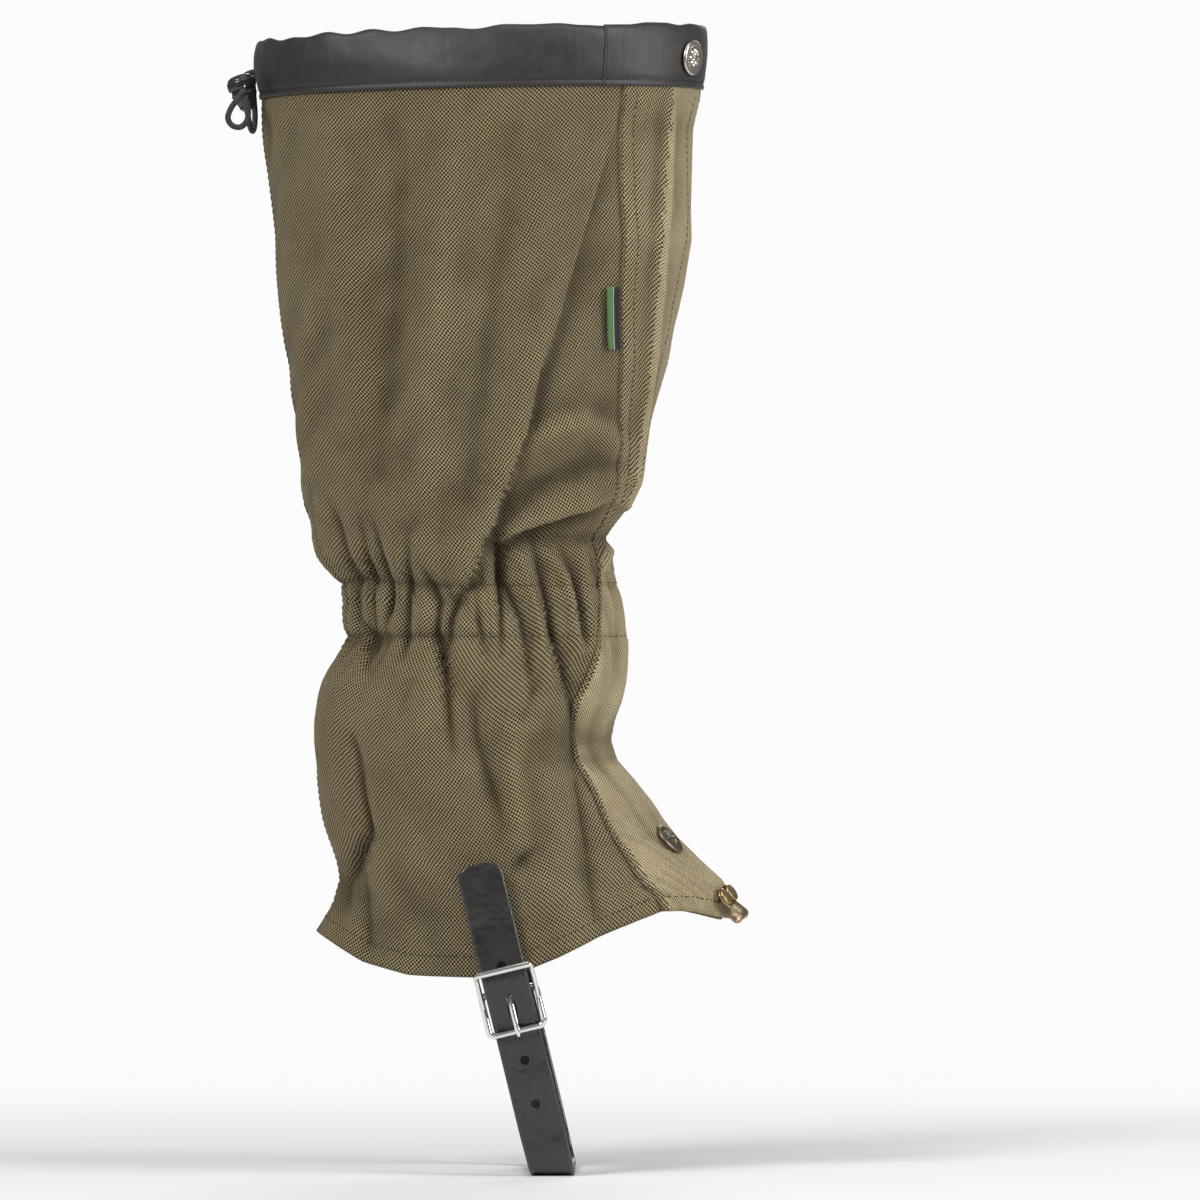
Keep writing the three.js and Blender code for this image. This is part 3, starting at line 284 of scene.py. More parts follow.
def slab(name, P, thick, uv=None, out_sign=1.0, N=None):
    """Closed sheet from a grid P[rows, cols]: outer face P, inner face P - n * thick."""
    nr, nc = P.shape[:2]
    n = grid_normals(P) if N is None else N
    Q = P - n * out_sign * (np.asarray(thick)[..., None] if np.ndim(thick) else thick)
    V = np.vstack([P.reshape(-1, 3), Q.reshape(-1, 3)])
    idx = np.arange(nr * nc).reshape(nr, nc)
    o = nr * nc
    a, b, c, d = idx[:-1, :-1], idx[:-1, 1:], idx[1:, 1:], idx[1:, :-1]
    F = [np.stack([a, d, c, b], -1).reshape(-1, 4), np.stack([a, b, c, d], -1).reshape(-1, 4) + o]

    def rim(e):
        return np.stack([e[:-1], e[1:], e[1:] + o, e[:-1] + o], -1)
    F.append(rim(idx[0]))
    F.append(rim(idx[-1][::-1]))
    F.append(rim(idx[:, 0][::-1]))
    F.append(rim(idx[:, -1]))
    F = np.vstack(F)
    if out_sign < 0:
        F = F[:, ::-1]
    UV = None
    if uv is not None:
        UV = np.vstack([uv.reshape(-1, 2), uv.reshape(-1, 2)])
    ob = make(name, V, F, UV)
    fix_normals(ob)
    return ob


def add_attribute(ob, name, values):
    at_ = ob.data.attributes.new(name, "FLOAT", "POINT")
    at_.data.foreach_set("value", np.asarray(values, np.float32).ravel())


def fix_normals(ob):
    """Turns all faces outward, by the sign of the volume."""
    me = ob.data
    co = np.zeros(len(me.vertices) * 3)
    me.vertices.foreach_get("co", co)
    co = co.reshape(-1, 3)
    me.calc_loop_triangles()
    t = np.zeros(len(me.loop_triangles) * 3, np.int32)
    me.loop_triangles.foreach_get("vertices", t)
    t = t.reshape(-1, 3)
    a, b, c = co[t[:, 0]], co[t[:, 1]], co[t[:, 2]]
    if np.einsum("ij,ij->i", a, np.cross(b, c)).sum() < 0:
        me.flip_normals()
    me.update()
    return ob


def frames(path, up=None, closed=False):
    """Tangent, side and up vectors along a path, without twist."""
    p = np.asarray(path, float)
    t = unit(np.roll(p, -1, 0) - np.roll(p, 1, 0)) if closed else unit(np.gradient(p, axis=0))
    u = np.zeros_like(p)
    first = np.cross(t[0], [0, 0, 1]) if up is None else np.asarray(up, float)
    if np.linalg.norm(first) < 1e-3:
        first = arr(1, 0, 0)
    cur = unit(first - t[0] * np.dot(first, t[0]))
    for i in range(len(p)):
        cur = unit(cur - t[i] * np.dot(cur, t[i]))
        u[i] = cur
    return t, np.cross(t, u), u


def sweep(name, path, section, up=None, closed=False, scale=None, wdirs=None, uvs=True):
    """A closed section (x along the side vector, y along up) carried along a path, capped at the ends."""
    p = np.asarray(path, float)
    t, s, u = frames(p, up, closed)
    if wdirs is not None:
        s = unit(np.asarray(wdirs, float))
        u = unit(np.cross(s, t))
    sec = np.asarray(section, float)
    n, m = len(p), len(sec)
    sc = np.ones((n, 2)) if scale is None else np.asarray(scale, float).reshape(n, -1) * np.ones((n, 2))
    V = p[:, None] + s[:, None] * (sec[None, :, :1] * sc[:, None, :1]) + u[:, None] * (sec[None, :, 1:2] * sc[:, None, 1:2])
    V = V.reshape(-1, 3)
    i = np.arange(n if closed else n - 1)[:, None]
    j = np.arange(m)[None]
    a, b = i * m + j, i * m + (j + 1) % m
    c, d = ((i + 1) % n) * m + (j + 1) % m, ((i + 1) % n) * m + j
    F = [list(f) for f in np.stack([a, b, c, d], -1).reshape(-1, 4)]
    if not closed:
        F.append(list(range(m))[::-1])
        F.append(list(range((n - 1) * m, n * m)))
    dist = np.concatenate([[0], np.cumsum(np.linalg.norm(np.diff(p, axis=0), axis=1))])
    rim = np.concatenate([[0], np.cumsum(np.linalg.norm(np.diff(sec, axis=0), axis=1))])
    uv = np.stack(np.broadcast_arrays(rim[None, :] * MM, dist[:, None] * MM), -1).reshape(-1, 2)
    ob = make(name, V, F, uv if uvs else None)
    fix_normals(ob)
    return ob


def circle(r, n, ry=None):
    a = np.arange(n) / n * 2 * math.pi
    return np.stack([r * np.cos(a), (r if ry is None else ry) * np.sin(a)], -1)


def lathe(name, profile, origin, axis, seg=48, shape=None):
    """Profile (radius, height) turned about an axis; shape(a, r, h) may add to the height or radius."""
    pr = np.asarray(profile, float)
    z = unit(np.asarray(axis, float))
    x = unit(np.cross([0, 0, 1], z)) if abs(z[2]) < 0.9 else unit(np.cross([1, 0, 0], z))
    y = np.cross(z, x)
    V, F, rings = [], [], []
    for k, (r, h) in enumerate(pr):
        if r < 1e-6:
            rings.append([len(V)])
            V.append(np.asarray(origin, float) + z * h)
            continue
        ids = []
        for i in range(seg):
            a = i / seg * 2 * math.pi
            rr, hh = (r, h) if shape is None else shape(a, r, h)
            ids.append(len(V))
            V.append(np.asarray(origin, float) + (x * math.cos(a) + y * math.sin(a)) * rr + z * hh)
        rings.append(ids)
    for p, q in zip(rings[:-1], rings[1:]):
        if len(p) == 1 and len(q) == 1:
            continue
        for i in range(seg):
            j = (i + 1) % seg
            if len(p) == 1:
                F.append([p[0], q[i], q[j]])
            elif len(q) == 1:
                F.append([p[i], q[0], p[j]])
            else:
                F.append([p[i], q[i], q[j], p[j]])
    if len(rings[0]) > 1 and np.allclose(pr[0], pr[-1]):
        # closes on itself: weld the last ring to the first
        m = {b: a for a, b in zip(rings[0], rings[-1])}
        F = [[m.get(k, k) for k in f] for f in F]
    ob = make(name, np.array(V), F)
    import bmesh
    bm = bmesh.new(); bm.from_mesh(ob.data)
    loose = [v for v in bm.verts if not v.link_faces]
    bmesh.ops.delete(bm, geom=loose, context="VERTS")
    bmesh.ops.recalc_face_normals(bm, faces=bm.faces)
    bm.to_mesh(ob.data); bm.free()
    fix_normals(ob)
    return ob


def merge(name, objs):
    """Several mesh objects as one."""
    bpy.ops.object.select_all(action="DESELECT")
    for o in objs:
        o.select_set(True)
    bpy.context.view_layer.objects.active = objs[0]
    if len(objs) > 1:
        bpy.ops.object.join()
    objs[0].name = name
    objs[0].data.name = name
    return objs[0]


def sharpen(ob, deg=40):
    """Flat shading across sharp edges, smooth elsewhere."""
    import bmesh
    bm = bmesh.new(); bm.from_mesh(ob.data)
    lim = math.radians(deg)
    for e in bm.edges:
        e.smooth = not (len(e.link_faces) == 2 and e.calc_face_angle(0) > lim)
    bm.to_mesh(ob.data); bm.free()
    return ob


def bevel(ob, width, segments=2, angle=40):
    m = ob.modifiers.new("edge", "BEVEL")
    m.width = width * MM
    m.segments = segments
    m.limit_method = "ANGLE"
    m.angle_limit = math.radians(angle)
    apply_all(ob)
    return ob


def apply_all(ob):
    dg = bpy.context.evaluated_depsgraph_get()
    dg.update()
    me = bpy.data.meshes.new_from_object(ob.evaluated_get(dg))
    ob.modifiers.clear()
    ob.data = me
    me.polygons.foreach_set("use_smooth", np.ones(len(me.polygons), bool))
    return ob


# ------------------------------------------------------------------ drawcord, built first
LOCK = dict(x=-132.8, y=-15.0, z=463.8, tilt=math.radians(-18), r0=3.4, r1=6.2, body=9.6)
LOCK_AXIS = arr(math.sin(LOCK["tilt"]), 0, math.cos(LOCK["tilt"]))
LOCK_BASE = arr(LOCK["x"], LOCK["y"], LOCK["z"])
CORD_D = 2.6
EXIT_Y, EXIT_Z = [4.4, 11.2], 481.2
U = LOCK_BASE + LOCK_AXIS * 7.6
L = LOCK_BASE + LOCK_AXIS * 4.9


def back_x(y):
    return float(surf(180 + math.degrees(math.asin(y / 65)), EXIT_Z)[0])


BIGHT = np.array([
    [back_x(EXIT_Y[0]) + 0.5, EXIT_Y[0], EXIT_Z], [-131.6, 4.4, 481.1], [-135.0, 4.3, 479.7], [-137.0, 3.6, 476.6], [-136.6, 1.2, 473.2],
    [U[0] - 0.3, -1.8, U[2] + 0.4], [U[0], -4.6, U[2]], [U[0], -10, U[2]], [U[0], -16, U[2]], [U[0], -22, U[2]], [U[0], -25.6, U[2]],
    [U[0] - 0.5, -28.6, U[2] - 1.0], [-137.6, -30.3, 467.2], [-140.4, -30.2, 463.2], [-141.6, -29.6, 459.0], [-139.6, -29.2, 455.9],
    [-136.0, -29.0, 455.4], [-133.3, -29.1, 458.2], [-132.8, -29.8, 462.4], [L[0] + 0.4, -29.8, 465.6], [L[0] + 0.1, -28.2, L[2] - 0.7],
    [L[0], -25.4, L[2]], [L[0], -22, L[2]], [L[0], -16, L[2]], [L[0], -10, L[2]], [L[0], -5.0, L[2]],
    [-134.3, -2.0, 467.8], [-134.4, 1.0, 465.2], [-133.9, 3.0, 461.2], [-133.2, 4.9, 457.4], [-132.2, 8.1, 455.3], [-131.5, 11.4, 457.3],
    [-131.2, 12.4, 461.6], [-131.5, 12.3, 467.4], [-131.9, 12.0, 473.0], [-132.0, 11.7, 476.6], [-131.0, 11.4, 479.6],
    [-128.9, 11.2, 481.0], [back_x(EXIT_Y[1]) + 0.5, EXIT_Y[1], EXIT_Z]])


def braided(name, path, d, strands=8, pitch=5.2):
    """A cord with the relief of a diamond braid."""
    p = np.asarray(path, float)
    t, s, u = frames(p)
    dist = np.concatenate([[0], np.cumsum(np.linalg.norm(np.diff(p, axis=0), axis=1))])
    m = 24
    a = np.arange(m) / m * 2 * math.pi
    ph = 2 * math.pi * dist[:, None] / pitch
    k = strands / 2
    w = np.maximum(np.abs(np.sin(k * a[None] / 1.0 + ph * 1.0)), np.abs(np.sin(k * a[None] - ph * 1.0)))
    r = d / 2 * (0.90 + 0.10 * w)
    V = p[:, None] + (s[:, None] * np.cos(a)[None, :, None] + u[:, None] * np.sin(a)[None, :, None]) * r[..., None]
    n = len(p)
    i = np.arange(n - 1)[:, None]; j = np.arange(m)[None]
    F = [list(f) for f in np.stack([i * m + j, i * m + (j + 1) % m, (i + 1) * m + (j + 1) % m, (i + 1) * m + j], -1).reshape(-1, 4)]
    F.append(list(range(m))[::-1]); F.append(list(range((n - 1) * m, n * m)))
    uv = np.stack(np.broadcast_arrays(a[None] * d / 2 * MM, dist[:, None] * MM), -1).reshape(-1, 2)
    ob = make(name, V.reshape(-1, 3), F, uv)
    return fix_normals(ob)


cord_path = spline(BIGHT, 0.35)
drawcord = braided("drawcord", cord_path, CORD_D)

# ------------------------------------------------------------------ the shell as one sheet
# Folds of the draped cloth on the lateral side, as (x, z) lines in mm: depth at each end and middle, half widths.
FOLD_LINES = dict(
    drape_main=[(31, 467), (26, 451), (22, 436), (18, 420), (14, 406), (9, 389), (5, 375), (0, 361), (-5, 348), (-8, 334), (-11, 322), (-15, 312), (-18, 303), (-22, 292), (-25, 282), (-29, 275), (-33, 263), (-36, 256)],
    arc_ridge=[(-18, 301), (-12, 311), (-6, 318), (4, 323), (15, 325), (23, 321), (28, 314)],
    lens=[(-15, 287), (-7, 296), (4, 302), (17, 307), (27, 309)],
    lens_low=[(-23, 273), (-19, 278), (-10, 279), (0, 284), (8, 286), (15, 288), (25, 294)],
    left_pleat=[(-98, 293), (-94, 279), (-91, 266), (-89, 254), (-87.6, 240), (-83, 231), (-82, 219)],
    pleat_b=[(-86, 290), (-83, 271), (-82, 254), (-82, 235), (-79, 226)],
    pleat_c=[(-79, 284), (-76, 270), (-74.5, 258), (-72, 250), (-76, 232)],
    long_crease=[(-56, 264), (-51.5, 254), (-49, 248), (-50.6, 235), (-47, 221), (-45, 201), (-43, 180)],
    pleat_e=[(-37, 256), (-40.5, 248), (-43.6, 240), (-45, 229)],
    pleat_f=[(-23, 275), (-23, 267), (-22, 247), (-21.6, 225)],
    pleat_g=[(-20, 268), (-19.8, 257), (-12.8, 240), (-8.4, 214), (-7, 203)],
    ridge_a=[(-12, 266), (-8, 252), (-4, 236), (1, 215)],
    ridge_b=[(-0.9, 268), (6.6, 257), (9.2, 241), (13, 226)],
    seam_ridge=[(13.6, 271), (15.4, 254), (18, 235), (19.8, 222), (15.4, 202)],
    pleat_d=[(-62, 278), (-62.5, 262), (-63.4, 240), (-65, 225)],
    pleat_h=[(-33, 251), (-32, 240), (-29, 226)],
    crease_j=[(-7, 274), (-5.3, 266), (0.4, 235), (9.2, 208), (12.3, 190)],
    crease_k=[(5, 272), (11, 257), (13, 243), (15, 230)],
    soft_low1=[(-34, 205), (-32, 187), (-26, 169), (-21, 151)],
    ridge_low=[(-16, 191), (-18, 177), (-16, 161), (-14, 138)],
    pinch=[(-17, 131), (-13, 136), (-8, 140)],
    soft_low2=[(10, 185), (12, 165), (15, 143), (16, 130), (18, 112)],
    left_low=[(-88, 189), (-86, 180), (-85, 171), (-84, 163), (-82, 153), (-81, 146), (-84, 140), (-88, 135), (-91, 125), (-92, 118)],
    left_low2=[(-86, 139), (-84, 128), (-82, 117), (-80, 100)],
    left_low3=[(-79, 161), (-76, 139), (-72, 117)],
    calf1=[(-98, 455), (-94, 425), (-91, 389), (-88, 359), (-84, 328)],
    calf2=[(-69, 460), (-66, 425), (-68, 381), (-71, 337), (-76, 306)],
    calf3=[(-43, 464), (-45, 425), (-49, 381), (-53, 337), (-54, 301), (-55, 275)],
    calf4=[(-14, 464), (-18, 429), (-23, 394), (-28, 359), (-33, 323), (-36, 293)],
)


def line_distance(x, z, pts):
    """Signed distance (positive on the front side of a line drawn downwards) and the share along it."""
    pts = np.asarray(pts, float)
    seg = np.diff(pts, axis=0)
    ln = np.linalg.norm(seg, axis=1)
    cum = np.concatenate([[0], np.cumsum(ln)])
    best = np.full(x.shape, 1e9)
    sd = np.zeros(x.shape)
    tt = np.zeros(x.shape)
    over = np.zeros(x.shape)
    for i, (a, s, l) in enumerate(zip(pts[:-1], seg, ln)):
        k = ((x - a[0]) * s[0] + (z - a[1]) * s[1]) / (l * l)
        kc = np.clip(k, 0, 1)
        dx, dz = x - (a[0] + kc * s[0]), z - (a[1] + kc * s[1])
        d = np.hypot(dx, dz)
        m = d < best
        cross = -(s[0] * (z - a[1]) - s[1] * (x - a[0])) / l
        best = np.where(m, d, best)
        past = np.where(k < 0, -k * l if i == 0 else 0, np.where(k > 1, (k - 1) * l if i == len(seg) - 1 else 0, 0))
        over = np.where(m, past, over)
        sd = np.where(m, -np.sign(cross) * d, sd)
        tt = np.where(m, (cum[i] + kc * l) / cum[-1], tt)
    line_distance.over = over
    return sd, tt


def fold_field(x, z):
    """Outward displacement and sideways shift of the folds at side-view positions."""
    out, shift = np.zeros(x.shape), np.zeros(x.shape)

    def amp(t, a):
        return np.interp(t, np.linspace(0, 1, len(a)), a)

    def valley(name, a, w, p=1.25):
        d, t = line_distance(x, z, FOLD_LINES[name])
        return -amp(t, a) * (0.62 * np.exp(-(np.abs(d) / w) ** p) + 0.38 * np.exp(-(d / (3.2 * w)) ** 2))

    def hill(name, a, w):
        d, t = line_distance(x, z, FOLD_LINES[name])
        return amp(t, a) * np.exp(-(d / w) ** 2)

    def step(name, a, wl, wr, lap=0.0):
        """The rear side stands proud and overhangs the front side."""
        d, t = line_distance(x, z, FOLD_LINES[name])
        A = amp(t, a) * np.exp(-(line_distance.over / 5.0) ** 2)
        k = 0.5 * (1 - np.tanh(d / np.interp(t, [0, 0.6, 1], [4.5, 2.2, 1.5])))
        o = A * (k * np.exp(-np.abs(np.minimum(d, 0)) / wl) - (1 - k) * 0.85 * np.exp(-np.maximum(d, 0) / wr))
        return o, A * lap * np.exp(-(np.minimum(d, 0) / (wl * 0.35)) ** 2) * k

    o, s = step("drape_main", [0.6, 1.0, 1.5, 2.1, 3.0, 4.4, 5.8, 5.8, 3.6], 16, 12, 0.0)
    out += o; shift += s
    out += hill("arc_ridge", [3.0, 4.2, 3.8, 2.0], 5.5)
    out -= hill("lens", [2.2, 5.0, 4.8, 2.0], 7.0)
    out += valley("left_pleat", [1.2, 4.0, 6.0, 5.6, 1.6], 2.0)
    out += valley("pleat_b", [0.8, 3.6, 6.0, 6.0, 1.6], 1.9)
    out += valley("pleat_c", [1.0, 4.6, 6.4, 6.0, 2.0], 2.0)
    out += valley("pleat_d", [1.2, 4.6, 6.0, 2.0], 1.9)
    out += valley("long_crease", [1.8, 5.6, 7.0, 6.6, 5.4, 3.4, 1.0], 2.3)
    out += valley("pleat_e", [2.6, 6.0, 5.4, 1.6], 1.9)
    out += valley("pleat_h", [1.6, 4.4, 1.6], 1.8)
    out += valley("pleat_f", [4.0, 6.6, 6.0, 2.0], 1.9)
    out += valley("pleat_g", [2.0, 5.0, 5.0, 3.6, 1.0], 2.2)
    out += valley("crease_j", [2.0, 4.6, 6.0, 5.4, 2.0], 2.6)
    out += valley("crease_k", [1.0, 3.6, 3.4, 1.0], 1.8)
    out += hill("ridge_a", [1.8, 3.0, 2.8, 1.2], 2.8)
    out += hill("ridge_b", [2.0, 3.2, 2.0], 2.4)
    out += hill("seam_ridge", [1.4, 2.4, 2.6, 2.2, 0.8], 2.4)
    out += valley("soft_low1", [4.2, 6.0, 5.0, 1.6], 5.5)
    out += hill("ridge_low", [2.4, 4.4, 4.2, 2.0], 5.5)
    out += valley("pinch", [1.0, 4.4, 1.0], 1.8)
    out += valley("soft_low2", [2.4, 3.8, 4.6, 4.6, 2.4], 4.5)
    out += valley("left_low", [2.4, 4.6, 5.8, 6.6, 6.6, 4.4], 2.8)
    out += valley("left_low2", [1.4, 3.2, 2.6], 3.6)
    out += hill("left_low3", [1.8, 3.6, 2.0], 6.5)
    out += hill("calf1", [0.8, 2.4, 3.0, 1.6], 8)
    out += valley("calf2", [0.8, 3.0, 3.8, 2.4], 7, 1.8)
    out += hill("calf3", [0.6, 2.4, 3.6, 3.6, 1.4], 8)
    out += valley("calf4", [0.6, 2.8, 3.8, 2.6], 7, 1.8)
    return out, shift


GATHER_HI, GATHER_LO = 255.0, 233.0


def build_shell():
    NF, NO, NI = (36, 140, 150)
    hs = np.concatenate([np.arange(100, 214, 1.85), np.arange(214, 300, 1.3), np.arange(300, 473.5, 1.9), [474.5]])
    for v in (GATHER_HI, GATHER_LO):
        hs[np.abs(hs - v).argmin()] = v
    hs = np.sort(hs)
    j_split = int(np.abs(hs - GATHER_HI).argmin())
    NV = len(hs)
    th = np.zeros((NV, NF + NO + NI + 1))
    for j, h in enumerate(hs):
        s = float(seam_at(h))
        th[j, :NF + 1] = np.linspace(FREE_EDGE, s, NF + 1)
        th[j, NF:NF + NO + 1] = np.linspace(s, 180, NO + 1)
        th[j, NF + NO:] = np.linspace(180, 360 + float(under_end(h)), NI + 1)
    H = hs[:, None] * np.ones_like(th)
    sink = np.where(th > 180, inner_out(th - 360, H), 0)
    S = surf(th, H)
    N = normal(th, H)
    lateral = S[..., 1] < 0
    # lateral folds
    o1, s1 = fold_field(S[..., 0], S[..., 2])
    # the medial side: the same kinds of folds, warped so that it is no mirror image
    xm = S[..., 0] * 0.96 + 9 * value_noise(S[..., 0], S[..., 2], 3, 60) - 5
    zm = S[..., 2] + 7 * value_noise(S[..., 0], S[..., 2], 5, 55) + 3
    o2, s2 = fold_field(xm, zm)
    # side weights fade across the front and back ridge lines
    yy = np.abs(S[..., 1])
    edge = smooth((yy - 2) / 22)
    wl = np.where(lateral, 1, 0) * edge
    wm = np.where(lateral, 0, 1) * edge
    front_in = (th < 90)
    out = np.where(lateral, o1 * edge, o2 * edge * 0.9)
    shift = np.where(lateral, s1 * edge, s2 * edge * 0.9)
    # small gathers all round, deeper away from the drawn pleats
    r = np.random.default_rng(11)
    arc = np.concatenate([np.zeros((NV, 1)), np.cumsum(np.linalg.norm(np.diff(S, axis=1), axis=2), 1)], 1)
    jg = int(np.abs(hs - 244).argmin())
    env = np.exp(-np.clip((H - GATHER_HI) / 20, 0, None) ** 1.2) * np.exp(-np.clip((GATHER_LO - H) / 26, 0, None) ** 1.2)
    u = 3.0
    total = arc[jg, -1]
    gath = np.zeros_like(out)
    while u < total:
        th0 = np.interp(u, arc[jg], th[jg])
        lat = th0 < 170
        slant = r.uniform(-3.5, 3.5)
        dep = r.uniform(0.5, 1.3) if lat else r.uniform(1.6, 3.6)
        reach_u, reach_d = r.uniform(10, 34), r.uniform(12, 40)
        centre = np.interp(th0, [0, 360], [0, 1])
        x0 = np.array([np.interp(th0, th[j], arc[j]) for j in range(NV)])
        d = arc - (x0[:, None] + slant * (H - 244) / 22)
        e = np.exp(-(np.clip((H - GATHER_HI) / reach_u, 0, None)) ** 1.4) * np.exp(-(np.clip((GATHER_LO - H) / reach_d, 0, None)) ** 1.4)
        gath -= dep * np.exp(-(np.abs(d) / 2.0) ** 1.3) * e
        u += r.uniform(6, 11) if not lat else r.uniform(6.5, 10)
    behind = smooth((-10 - S[..., 0]) / 45)
    out = out + gath + 0.5 * env - 2.2 * env * smooth((-55 - S[..., 0]) / 30)
    # bead between the stitch rows, pinched at the rows
    bead = 2.0 * np.sin(np.pi * np.clip((H - GATHER_LO) / (GATHER_HI - GATHER_LO), 0, 1))
    pinch = np.exp(-(np.abs(H - GATHER_HI) / 1.8) ** 1.3) + np.exp(-(np.abs(H - GATHER_LO) / 1.8) ** 1.3)
    out = out + (bead - 1.3 * pinch) * (0.30 + 0.70 * behind)
    out = out + 2.4 * np.exp(-((H - 268) / 9) ** 2) * behind
    # broad undulation
    v1 = value_noise(arc, H * 0.45, 21, 34)
    v2 = value_noise(arc + 0.35 * H, H * 0.5, 22, 15)
    v3 = value_noise(arc - 0.4 * H, H * 0.7, 23, 8)
    out = out + 1.9 * v1 + 1.15 * v2 + 0.42 * v3 * (0.4 + env)
    # seams draw in a little
    for c0 in (NF, NF + NO):
        dd = arc - arc[:, c0:c0 + 1]
        out = out - 0.5 * np.exp(-(np.abs(dd) / 2.4) ** 1.5)
    # the flap: the doubled strip by the free edge, a soft ridge over the end of its tape, pressed stitch lines
    per = np.maximum(np.abs(np.gradient(arc, axis=1) / np.gradient(th, axis=1)), 0.2)
    from_edge = (th - FREE_EDGE) * per
    ahead = (seam_at(hs)[:, None] - th) * per
    on_flap = (th < seam_at(hs)[:, None] + 0.01) & (th < 90)
    ridge_x = np.interp(H, [231, 262, 300, 340, 385, 430, 455, 472], [26, 22, 36, 42, 47, 50.5, 52.2, 53])
    rd = S[..., 0] - ridge_x
    out = out + np.where(on_flap & (H > 262), 2.2 * np.exp(-(rd / 1.7) ** 2) - 0.8 * np.exp(-((rd + 5.0) / 3.0) ** 2), 0)
    for mm, h0, h1 in ((1.6, 262, 480), (8.0, 292, 480)):
        out = out - np.where(on_flap & (H > h0), 0.45 * np.exp(-((ahead - mm) / 0.8) ** 2), 0)
    out = out - np.where(on_flap, 0.45 * np.exp(-((from_edge - 1.5) / 0.8) ** 2), 0)
    out = out - np.where(on_flap & (H > 296), 0.5 * np.exp(-((from_edge - 16.5) / 0.9) ** 2), 0)
    lowf = on_flap & (H < 262)
    out = out + np.where(lowf, 0.9 * value_noise(from_edge * 1.0 + 40, H * 0.28, 91, 7), 0)
    # calm near the band and where the flap meets the underlap
    top = 1 - smooth((H - 452) / 20)
    out = out * (0.25 + 0.75 * top)
    # soft vertical ripples of the flap and its underlap, which stay flat against each other
    flap = smooth((8 - th) / 12)
    out = np.where(th < 90, out * (1 - 0.35 * flap), out)
    under = np.where(th > 180, smooth((th - 360 + 40) / 30), 0)
    out = out * (1 - 0.75 * under)
    # the fixed overhang above the front of the ankle: upper cloth bags over the gathered lower cloth
    lip_z = np.interp(S[..., 0], [-23, -10, 8, 15, 25, 40], [273, 279, 286, 288, 293, 284])
    near = smooth((S[..., 0] + 30) / 12) * np.where(th < 120, 1, 0)
    d = S[..., 2] - lip_z
    lap = 0.5 * (1 + np.tanh(d / 1.3))
    near = near * (1 - 0.8 * smooth((S[..., 0] - 12) / 14))
    out = out + near * (3.4 * np.exp(-(np.clip(d, 0, None) / 6) ** 1.5) * lap - 3.4 * np.exp(-(np.clip(-d, 0, None) / 8) ** 1.2) * (1 - lap))
    T = unit(np.gradient(S, axis=1))
    X = S + N * (out + sink)[..., None] - T * shift[..., None] * np.where(lateral, 1, -1)[..., None]
    X = settle(X, S + N * sink[..., None], N, H, th)
    return dict(X=X, S=S, N=N, H=H, th=th, hs=hs, NF=NF, NO=NO, NI=NI, split=j_split, arc=arc)


